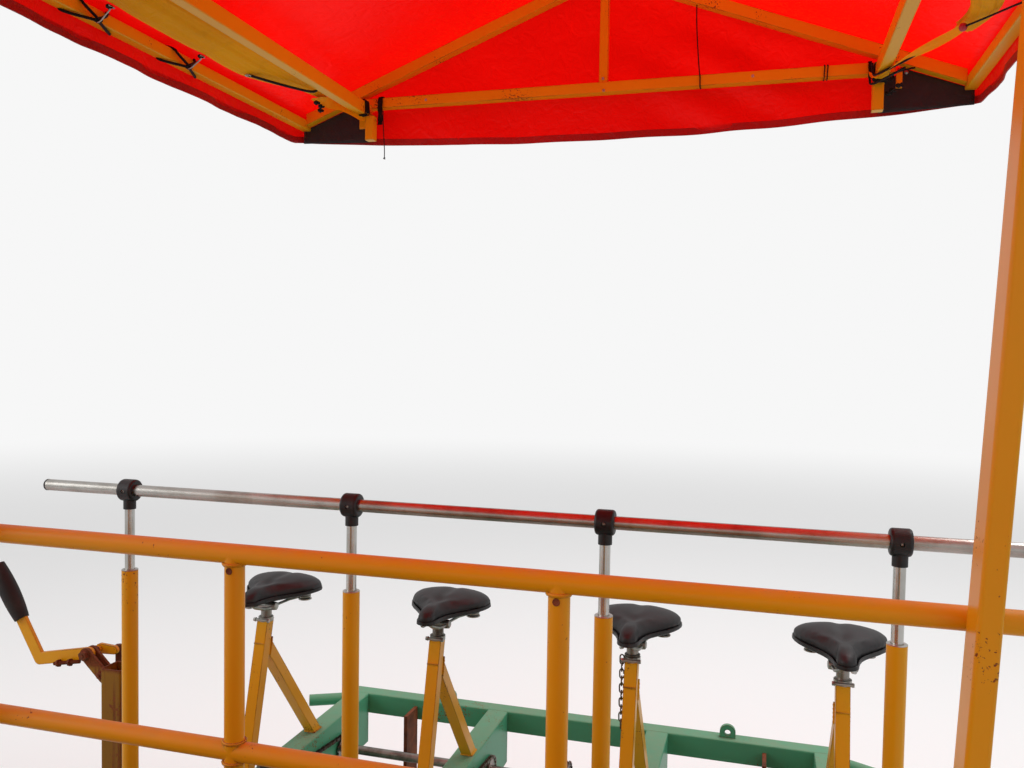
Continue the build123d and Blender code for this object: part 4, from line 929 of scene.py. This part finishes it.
for i in range(bolt["boards"]):  # the screws of the floor boards, not quite in line
    x = bolt["boardX"] + bolt["boardStep"] * i
    for y in bolt["boardYs"]:
        for dx in (-bolt["screwX"], bolt["screwX"]):
            boardScrews.turned((x + dx, y + 0.004 * ((i * 7 + round(y * 9)) % 3 - 1), bolt["boardZ"]), (0, 0, 1),
                               sunkProfile, sides=12)
# bolts through posts and main beams, and the screws of both roof ties
for end in (1, -1):
    for side in (1, -1):
        for x, way, height in bolt["postEnds"]:
            steelBolts.hexHead((side * x, end * bolt["postY"], bolt["postZ"]), (side * way, 0, 0), 0.013, height)
    for x, z in bolt["tieScrews"]:
        steelBolts.turned((x, end * bolt["tieY"], z), (0, -end, 0), tieProfile, sides=12)

# brake: pivot bolts with nuts, rust-locked adjuster rod on the lever
brake = {"y": 1.275, "cheek": 0.0122, "washer": 0.0018, "pivots": ((0.908, 0.888, 0.019), (0.866, 0.850, 0.015)),
         "rodInset": 0.0115, "rodFrom": (0.922, 0.872), "rodTo": (0.990, 0.860), "pitch": 0.0016,
         "nuts": ((0.946, 0.8675), (0.976, 0.8625)), "rodFall": -0.176}
for end in (1, -1):
    for x, z, size in brake["pivots"]:
        for s in (1, -1):
            start = Vector((-end * x, end * brake["y"] + s * brake["cheek"], z))
            rustyBolts.turned(start, (0, s, 0), [(0, size * 0.62), (brake["washer"], size * 0.62),
                                                 (brake["washer"] + 0.00001, size * 0.4)], sides=20)
            rustyBolts.hexHead(start + Vector((0, s * brake["washer"], 0)), (0, s, 0), size, size * 0.42)
        rustyBolts.tube([(-end * x, end * brake["y"] + dy, z) for dy in (-0.024, 0.026)], size * 0.24, sides=10)


def threadedRod(heap, start, toward, radius, pitch):
    start, toward = Vector(start), Vector(toward)
    profile = []
    for k in range(int((toward - start).length / pitch)):
        profile += [(k * pitch, radius * 0.84), (k * pitch + pitch / 2, radius)]
    heap.turned(start, toward - start, profile, sides=10)


for end, endName, body in ((1, "Front", "brake_lever_front"), (-1, "Rear", "brake_lever_rear")):
    rod = Heap()
    y = end * (brake["y"] - brake["rodInset"])
    rodStart, rodEnd = ((-end * x, y, z) for x, z in (brake["rodFrom"], brake["rodTo"]))
    threadedRod(rod, rodStart, rodEnd, 0.0042, brake["pitch"])
    for x, z in brake["nuts"]:
        rod.hexHead((-end * x, y, z), (-end, 0, brake["rodFall"]), 0.013, 0.0065)
    rod.piece("leverAdjuster" + endName, rustySteel, body=body, creased=True)
yellowWelds.piece("yellowWeldBeads", yellowEnamel)
greenWelds.piece("greenWeldBeads", greenEnamel)
steelBolts.piece("boltsAndCollars", zincPlate, creased=True)
rustyBolts.piece("brakePivotBolts", rustySteel, creased=True)
boardScrews.piece("floorBoardScrews", zincPlate, creased=True)
print("welds, bolts and screws placed")


# handlebars: end plugs, set screws in the clamps and the bright rims of the outer tubes
bars = {"y": 1.144, "z": 1.2716, "plugX": 0.884, "screwY": 1.1265, "rimZ": 1.1176}
plugProfile = [(0, 0.0113), (0.0030, 0.0113), (0.0044, 0.0102), (0.0054, 0.0072), (0.0058, 0.003)]
setScrewProfile = [(0, 0.0031), (0.0018, 0.0031), (0.0022, 0.0024), (0.0012, 0.0018), (0.0004, 0.0016)]
rimProfile = [(0, 0.0152), (0.0008, 0.0152), (0.0014, 0.0145), (0.0014, 0.0098), (0.0002, 0.0094)]
plugs, setScrews, rims = Heap(), Heap(), Heap()
for end in (1, -1):
    for side in (1, -1):
        plugs.turned((side * bars["plugX"], end * bars["y"], bars["z"]), (side, 0, 0), plugProfile, sides=24)
    for x in tubeXs:
        setScrews.turned((x, end * bars["screwY"], bars["z"]), (0, -end, 0), setScrewProfile, sides=6)
        rims.turned((x, end * bars["y"], bars["rimZ"]), (0, 0, 1), rimProfile, sides=28)
plugs.piece("barEndPlugs", mouldedNylon, creased=True)
setScrews.piece("clampSetScrews", zincPlate, creased=True)
rims.piece("outerTubeRims", wornStainless, creased=True)

# drilled holes under the top rail, empty and rusty at their rims
hole = {"x": 0.2315, "y": 0.7846, "z": 1.2360}
holeProfile = [(0.0004, 0.0010), (0.0002, 0.0034), (0.0010, 0.0038), (0.0011, 0.0046), (0.0002, 0.0050)]
holes = Heap()
for end in (1, -1):
    for side in (1, -1):
        holes.turned((side * hole["x"], end * hole["y"], hole["z"]), (0, -end, 0), holeProfile, sides=18)
holes.piece("drilledHoles", rustySteel)

# a length of short-link chain hangs from a ring round the third saddle post
linkChain = {"top": (0.1925, 1.602, 0.897), "links": 10, "wire": 0.0016, "straight": 0.00399, "round": 0.00651,
             "wide": 0.0045, "pitch": 0.0158, "lean": 0.024, "ring": (0.213, 1.6145, 0.8985, 0.0155),
             "ringWire": 0.0017}
steelLinks = Heap()
for i in range(linkChain["links"]):
    centre = Vector(linkChain["top"]) - Vector((0, 0, linkChain["pitch"] * (i + 0.5)))
    lean = linkChain["lean"] * sin(i * 1.9)
    path = []
    for a in (2 * pi * k / 16 for k in range(17)):
        u = linkChain["wide"] * cos(a)
        away = 1 if sin(a) > 0 else -1 if sin(a) < 0 else 0
        v = linkChain["round"] * sin(a) + linkChain["straight"] * away
        path.append(centre + Vector((0, u, v) if i % 2 else (u, lean * v, v)))
    steelLinks.tube(path, linkChain["wire"], sides=6, caps=False)
ring = ringLoop(*linkChain["ring"], count=20)
steelLinks.tube(ring + ring[:1], linkChain["ringWire"], sides=6, caps=False)
steelLinks.piece("shortLinkChain", oiledChain)
print("fittings on handlebars and saddle post placed")


# rigging of canopy and curtains: elastic cords, eyelets, webbing and small brackets
rigging = {"cord": 0.0034, "stations": (0.40, 1.31, 1.62), "edgeX": 0.879, "edgeZ": 2.2620, "beamIn": 0.958,
           "beamOut": 0.9885, "beamLow": 2.2588, "beamTop": 2.2930, "eyelet": 0.0075, "ball": 0.009,
           "ballAt": (0.8640, 1.8447, 2.2655), "lastEyelet": (0.8435, 1.767, 2.2625, 0.0068),
           "rafterBolts": ((0.795, 2.316), (0.812, 2.309)), "rafterBoltY": 2.272, "knot": 0.0085,
           "thin": {"hook": 0.0019, "eyelet": 0.0019, "lastEyelet": 0.0017, "ballCord": 0.0022, "stripCord": 0.0030,
                    "edgeCord": 0.0036, "turns": 0.0027, "rafterCord": 0.0026, "coil": 0.0024,
                    "sheetCord": 0.0017, "lashing": 0.0015}}  # radii
boltProfile = [(0, 0.006), (0.001, 0.006), (0.0011, 0.0045), (0.005, 0.0045)]
# routes are given at positive x and y and mirrored into the corners, each curtain having a short and a long end
longRoutes = {
    "strip": ((0.803, 2.050, 2.284), (0.796, 2.095, 2.286), (0.780, 2.140, 2.288), (0.762, 2.195, 2.281),
              (0.748, 2.236, 2.2775), (0.726, 2.258, 2.2790), (0.7225, 2.266, 2.300)),
    "edgeCord": ((0.842, 1.770, 2.2640), (0.829, 1.806, 2.2650), (0.803, 1.877, 2.2675), (0.777, 1.948, 2.2720),
                 (0.7655, 1.978, 2.2775), (0.7635, 1.985, 2.2840)),
    "knots": ((0.800, 2.050, 2.270), (0.812, 2.098, 2.274), (0.842, 2.150, 2.278))}
shortRoutes = {
    "strip": ((0.878, 1.850, 2.2800), (0.868, 1.885, 2.2760), (0.835, 1.955, 2.2755), (0.795, 2.040, 2.2775),
              (0.762, 2.115, 2.2780), (0.738, 2.180, 2.2785), (0.724, 2.212, 2.2790), (0.7215, 2.225, 2.300)),
    "ballCord": ((0.885, 1.812, 2.2640), (0.912, 1.768, 2.2620), (0.939, 1.7228, 2.2600),
                 (0.957, 1.694, 2.2570), (0.975, 1.688, 2.2565)),
    "stripCords": (((0.8166, 2.0179, 2.2820), (0.790, 2.064, 2.2770), (0.7550, 2.125, 2.2770),
                    (0.7280, 2.172, 2.2775), (0.7205, 2.188, 2.2800), (0.7205, 2.200, 2.3150)),
                   ((0.7874, 2.1169, 2.2730), (0.770, 2.150, 2.2720), (0.7400, 2.215, 2.2730),
                    (0.7240, 2.250, 2.2760), (0.7205, 2.258, 2.2850), (0.7205, 2.262, 2.3150))),
    "knots": ((0.7796, 2.262, 2.262), (0.7700, 2.2680, 2.2560), (0.7923, 2.2304, 2.2640))}
rafterRoute = ((0.7645, 2.236, 2.292), (0.780, 2.243, 2.300), (0.802, 2.252, 2.309), (0.822, 2.262, 2.315),
               (0.832, 2.268, 2.318))
beamTurn = ((0.7275, 0, 2.286), (0.7285, 0, 2.322), (0.733, 0, 2.3255), (0.760, 0.003, 2.3255),
            (0.7645, 0.004, 2.320), (0.7645, 0.004, 2.284), (0.761, 0.003, 2.2790), (0.733, 0, 2.2790),
            (0.7275, 0, 2.283))
webbingTop = ((2.2712, 2.305), (2.2724, 2.338), (2.2752, 2.3452), (2.300, 2.3448), (2.3052, 2.3445))
sheetRoute = ((0.262, 2.287, 2.545), (0.262, 2.2872, 2.50), (0.266, 2.286, 2.44), (0.271, 2.284, 2.38),
              (0.275, 2.2735, 2.346), (0.277, 2.2722, 2.335), (0.277, 2.2722, 2.316), (0.277, 2.2740, 2.3090),
              (0.277, 2.290, 2.3085), (0.278, 2.3035, 2.3110), (0.279, 2.3040, 2.330))
lashing = ((0, 2.2725, 2.3085), (0, 2.2720, 2.320), (0.001, 2.2720, 2.335), (0.001, 2.2735, 2.3450),
           (0, 2.290, 2.3460), (0, 2.3035, 2.3440), (0, 2.3045, 2.325), (0, 2.3030, 2.3090), (0, 2.285, 2.3080),
           (0, 2.2730, 2.3080))


def routeCurve(name, points, resolution):
    curve = bpy.data.curves.new(name, "CURVE")
    curve.dimensions = "3D"
    spline = curve.splines.new("NURBS")
    spline.points.add(len(points) - 1)
    for p, q in zip(spline.points, points):
        p.co = (*q, 1)
    spline.order_u = 3
    spline.use_endpoint_u = True
    spline.resolution_u = resolution
    obj = bpy.data.objects.new(name, curve)
    scene.collection.objects.link(obj)
    return obj


def smoothPath(points, resolution=6):
    # the line that the cords follow, read from one NURBS spline
    obj = routeCurve("route", points, resolution)
    curve = obj.data
    mesh = bpy.data.meshes.new_from_object(obj.evaluated_get(bpy.context.evaluated_depsgraph_get()))
    line = [v.co.copy() for v in mesh.vertices]
    bpy.data.objects.remove(obj)
    bpy.data.curves.remove(curve)
    bpy.data.meshes.remove(mesh)
    return line


def mirrored(side, end, points):
    return [(side * x, end * y, z) for x, y, z in points]


def addKnot(heap, centre, size, radius):
    # an overhand knot drawn tight
    path = []
    for t in (2 * pi * k / 36 for k in range(37)):
        turn = Vector((sin(t) + 2 * sin(2 * t), cos(t) - 2 * cos(2 * t), -sin(3 * t)))
        path.append(Vector(centre) + turn * size / 3)
    heap.tube(path, radius * 0.8, sides=6, caps=False)


elastic, eyelets, tapes, webbing, hooks, balls = Heap(), Heap(), Heap(), Heap(), Heap(), Heap()
thin = rigging["thin"]


def beamTie(side, end, y):
    # a knotted cord with two legs, each turned round the eave beam, and hooked into the curtain's edge
    r = rigging
    eye = Vector((side * r["edgeX"], end * y, r["edgeZ"]))
    apex = Vector((side * (r["beamIn"] - 0.018), end * (y + 0.034), r["beamLow"] - 0.0035))
    for leg in (-0.028, 0.118):
        at = end * (y + leg)
        half = (apex.y + at) / 2
        elastic.tube(smoothPath([
            apex, (side * (r["beamIn"] + 0.002), half, r["beamLow"] - 0.0035),
            (side * (r["beamOut"] - 0.008), at, r["beamLow"] - 0.0020),
            (side * r["beamOut"], at + end * 0.001, r["beamLow"] + 0.006),
            (side * r["beamOut"], at + end * 0.002, r["beamTop"] - 0.008),
            (side * (r["beamOut"] - 0.01), at, r["beamTop"]),
            (side * (r["beamIn"] - 0.001), half, r["beamTop"] - 0.001),
            (side * (r["beamIn"] - 0.008), half, r["beamTop"] - 0.014),
            apex + Vector((0, 0, 0.004))]), r["cord"])
    addKnot(elastic, apex, 0.0075, r["cord"])
    addKnot(elastic, eye + Vector((side * -0.001, end * -0.004, 0.002)), 0.0058, r["cord"])
    # pale open hook from the knot into the eyelet
    hook = ((apex, (0.004, 0, -0.004)), (apex, (-0.008, -0.004, -0.006)), (apex.lerp(eye, 0.55), (0, 0, -0.004)),
            (eye, (0.002, 0, -0.004)), (eye, (-0.006, -0.004, 0.001)), (eye, (-0.004, -0.010, 0.004)))
    hooks.tube(smoothPath([p + Vector((side * dx, end * dy, dz)) for p, (dx, dy, dz) in hook]), thin["hook"],
               sides=7)
    # rolled eyelet, tilted with the cloth
    ring = [(eye.x + r["eyelet"] * cos(a), eye.y + r["eyelet"] * sin(a), eye.z + 0.0035 + 0.002 * side * cos(a))
            for a in (2 * pi * k / 20 for k in range(21))]
    eyelets.tube(ring, thin["eyelet"], sides=7, caps=False)


def tailStrip(side, end, short):
    # the curtain's tail is tied to the beam end with a twisted strip of its own cloth
    line = smoothPath(mirrored(side, end, (shortRoutes if short else longRoutes)["strip"]), resolution=8)
    rows = []
    for i, p in enumerate(line):
        t = i / (len(line) - 1)
        along = (line[min(i + 1, len(line) - 1)] - line[max(i - 1, 0)]).normalized()
        flat = along.cross(Vector((0, 0, 1))).normalized()
        over = along.cross(flat)
        twist = (0.5 * sin(7 * t) if short else 1.9 * sin(pi * t)) * side
        across = flat * cos(twist) + over * sin(twist)
        wide = 0.012 - 0.003 * t if short else 0.017 - 0.006 * t
        rows.append([p + across * wide * u + over * 0.0015 * sin(u * 5 + t * 9) for u in (-1, -0.5, 0, 0.5, 1)])
    tapes.grid(rows)


def shortEndTies(side, end):
    # a ball tie gathers the curtain's point, and its cord runs out to the eave beam
    centre = Vector(mirrored(side, end, [rigging["ballAt"]])[0])
    size = rigging["ball"]
    balls.turned(centre, (0, 0, 1), [(-size * cos(pi * k / 12), max(0.0004, size * sin(pi * k / 12)))
                                     for k in range(13)], sides=20)
    elastic.tube(smoothPath([centre + Vector((side * 0.004, -end * 0.006, 0)),
                             *mirrored(side, end, shortRoutes["ballCord"])]), thin["ballCord"])
    for route in shortRoutes["stripCords"]:  # made fast round the beam end
        elastic.tube(smoothPath(mirrored(side, end, route)), thin["stripCord"])


def longEndTies(side, end):
    # elastic cord from the curtain's last eyelet to the side of the main beam
    elastic.tube(smoothPath(mirrored(side, end, longRoutes["edgeCord"])), thin["edgeCord"])
    x, y, z, radius = rigging["lastEyelet"]
    ring = ringLoop(side * x, end * y, z, radius, 18)
    eyelets.tube(ring + ring[:1], thin["lastEyelet"], sides=6, caps=False)


def beamEndCords(side, end):
    # turns of cord round the beam end, drawn up to the rafter
    for y in (2.226 + 0.011 * k for k in range(3)):
        elastic.tube(smoothPath([(side * x, end * (y + dy), z) for x, dy, z in beamTurn], resolution=4),
                     thin["turns"], sides=6)
    elastic.tube(smoothPath(mirrored(side, end, rafterRoute)), thin["rafterCord"], sides=7)
    elastic.tube([(side * (0.770 + 0.007 * cos(a)), end * (2.240 + 0.003 * cos(a * 0.7)), 2.288 + 0.008 * sin(a))
                  for a in (k * 0.6 for k in range(24))], thin["coil"], sides=6)


def tieWebbing(side, end):
    # two layers of webbing looped over the tie's end, with a loose tail at one of its ends
    wide, x, low = (0.0085, side * 0.7005, 2.258) if side == -end else (0.0050, side * 0.7225, 2.298)
    loop = ((2.2700, low), (2.2690, low + 0.018), *webbingTop)
    for offset in (0.0, 0.0022):
        line = smoothPath([(x + (0.003 if z < 2.29 else 0) * sin(offset * 900), end * (y - offset),
                            z + (offset if z > 2.344 else 0)) for y, z in loop], resolution=5)
        webbing.grid([[p + Vector((d * wide * (1 - 0.18 * sin(p.z * 120) ** 2),
                                   end * 0.0012 * sin(d * 3 + p.z * 90), 0))
                       for d in (-1, -0.4, 0.4, 1)] for p in line])


for side in (1, -1):
    for end in (1, -1):
        short = side == end  # the curtain that stops early at this end
        for y in rigging["stations"]:
            beamTie(side, end, y)
        tailStrip(side, end, short)
        (shortEndTies if short else longEndTies)(side, end)
        # knotted cord ends that hang under the curtain's tail
        for place in mirrored(side, end, (shortRoutes if short else longRoutes)["knots"]):
            addKnot(elastic, place, rigging["knot"], rigging["cord"])
        beamEndCords(side, end)
        for x, z in rigging["rafterBolts"]:
            hooks.turned((side * x, end * rigging["rafterBoltY"], z), (0, -end, 0), boltProfile, sides=6)
        tieWebbing(side, end)
# an angle under the beam end, or a flat hook on the rafter foot
bracketBoxes = {"angle": (((0.744, 2.2700, 2.249), (0.771, 2.2735, 2.282)),
                          ((0.744, 2.246, 2.2785), (0.771, 2.2735, 2.2818))),
                "hook": (((0.787, 2.2700, 2.268), (0.803, 2.2735, 2.312)),)}
bracket = Heap()
for side in (1, -1):
    for end in (1, -1):
        for box in bracketBoxes["angle" if side == -end else "hook"]:
            pairs = list(zip(*mirrored(side, end, box)))
            bracket.box([min(pair) for pair in pairs], [max(pair) for pair in pairs])
beamBrackets = bracket.piece("beamEndBrackets", yellowEnamel, smooth=False)
bevel = beamBrackets.modifiers.new("edges", "BEVEL")
bevel.width = 0.0008
bevel.segments = 2
# cord from the roof sheet down round the tie, and a short lashing beside it
for end in (1, -1):
    elastic.tube(smoothPath(mirrored(end, end, sheetRoute)), thin["sheetCord"], sides=6)
    for x in (0.607, 0.615):
        elastic.tube(smoothPath([(end * x + dx, end * y, z) for dx, y, z in lashing], resolution=4),
                     thin["lashing"], sides=6)
elastic.piece("elasticCords", blackWebbing)
eyelets.piece("rolledEyelets", zincPlate)
hooks.piece("hooksAndRafterBolts", zincPlate)
balls.piece("curtainTieBalls", ballPlastic)
for heap, name, finish, slotName, flat in (
        (tapes, "curtainTailStrips", ochreCurtain, "curtain_yellow", (0.034, 1.5)),
        (webbing, "webbingLoops", blackWebbing, "black_fabric", (0.024, 0.9))):
    obj = heap.piece(name, finish)

# a thin cord end hangs from the webbing at the left
cordEnd = {"points": ((-0.690, 2.2700, 2.300), (-0.690, 2.2685, 2.280), (-0.688, 2.2690, 2.240),
                      (-0.6855, 2.2700, 2.200), (-0.684, 2.2700, 2.1700), (-0.6845, 2.2695, 2.1520)),
           "diameter": 0.003}
hangingCord = routeCurve("hangingCord", cordEnd["points"], 8)
hangingCord.data.bevel_depth = cordEnd["diameter"] / 2
hangingCord.data.bevel_resolution = 2
hangingCord.data.use_fill_caps = True
hangingCord.data.materials.append(blackWebbing)
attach(hangingCord, "trolley")
knot = Heap()
knot.tube([(-0.6845 + 0.0022 * cos(a), 2.2695 + 0.0022 * sin(a), 2.1515 + 0.0006 * a)
           for a in (k * 0.6 for k in range(14))], 0.0015, sides=6)
cordKnot = knot.piece("hangingCordKnot", blackWebbing)
print("canopy rigging placed")


# studio: a pale floor that fades into the backdrop
studio = {"backdrop": 0.93, "ambient": 0.62, "floorLow": 0.66, "floorHigh": 0.72, "fadeFrom": 4.5, "fadeTo": 17,
          "floorHalf": 30}
floorMat, tree, shader, place = startMaterial("paleFloor", 0.9)
grain = addNode(tree, "TexNoise", {"Vector": place}, {"Scale": 30, "Detail": 3})
tint = addNode(tree, "MapRange", {0: grain}, span(toLow=studio["floorLow"], toHigh=studio["floorHigh"]))
floorRays = addNode(tree, "LightPath")
pale = studio["backdrop"]
floorTone = addNode(tree, "Mix", {0: floorRays.outputs["Is Camera Ray"], 6: tint}, {7: (pale, pale, pale, 1)},
                    data_type="RGBA")
spread = addNode(tree, "VectorMath", {0: place}, operation="LENGTH")
far = addNode(tree, "MapRange", {0: spread.outputs["Value"]}, span(studio["fadeFrom"], studio["fadeTo"]),
              interpolation_type="SMOOTHSTEP")
farSeen = addNode(tree, "Math", {0: far, 1: floorRays.outputs["Is Camera Ray"]}, operation="MULTIPLY")
glow = addNode(tree, "Emission", {}, {"Color": (1, 1, 1, 1), "Strength": pale})
floorMix = addNode(tree, "MixShader", {0: farSeen, 1: shader, 2: glow})
wire(tree, shader, {"Base Color": floorTone.outputs[2]})
wire(tree, tree.nodes["Material Output"], {"Surface": floorMix})
half = studio["floorHalf"]
floor = meshPiece("studioFloor", [(a * half, b * half, 0) for a, b in corners], [(0, 1, 2, 3)], floorMat,
                  body=None, smooth=False)

world = bpy.data.worlds.new("studio")
world.use_nodes = True
tree = world.node_tree
background = tree.nodes["Background"]
rays = addNode(tree, "LightPath")
seen = addNode(tree, "Math", {0: rays.outputs["Is Camera Ray"], 1: rays.outputs["Is Transmission Ray"]},
               operation="MAXIMUM")
level = addNode(tree, "MapRange", {0: seen}, span(toLow=studio["ambient"], toHigh=studio["backdrop"]))
background.inputs["Color"].default_value = (1, 1, 1, 1)
wire(tree, background, {"Strength": level})
scene.world = world

lampTable = {  # name: (place, aim, size, watts)
    "keyAbove": ((2.0, 3.2, 6.5), (0, 1.2, 2.0), 3.0, 200),
    "fillLeft": ((-5.0, -1.0, 3.0), (0, 1.0, 1.5), 3.0, 60),
}
for name, (spot, aim, size, watts) in lampTable.items():
    lamp = bpy.data.lights.new(name, "AREA")
    lamp.shape = "SQUARE"
    lamp.size = size
    lamp.energy = watts
    obj = bpy.data.objects.new(name, lamp)
    direction = Vector(aim) - Vector(spot)
    obj.matrix_world = Matrix.Translation(spot) @ direction.to_track_quat("-Z", "Y").to_matrix().to_4x4()
    scene.collection.objects.link(obj)
print("studio ready")

scene.view_settings.view_transform = "Standard"
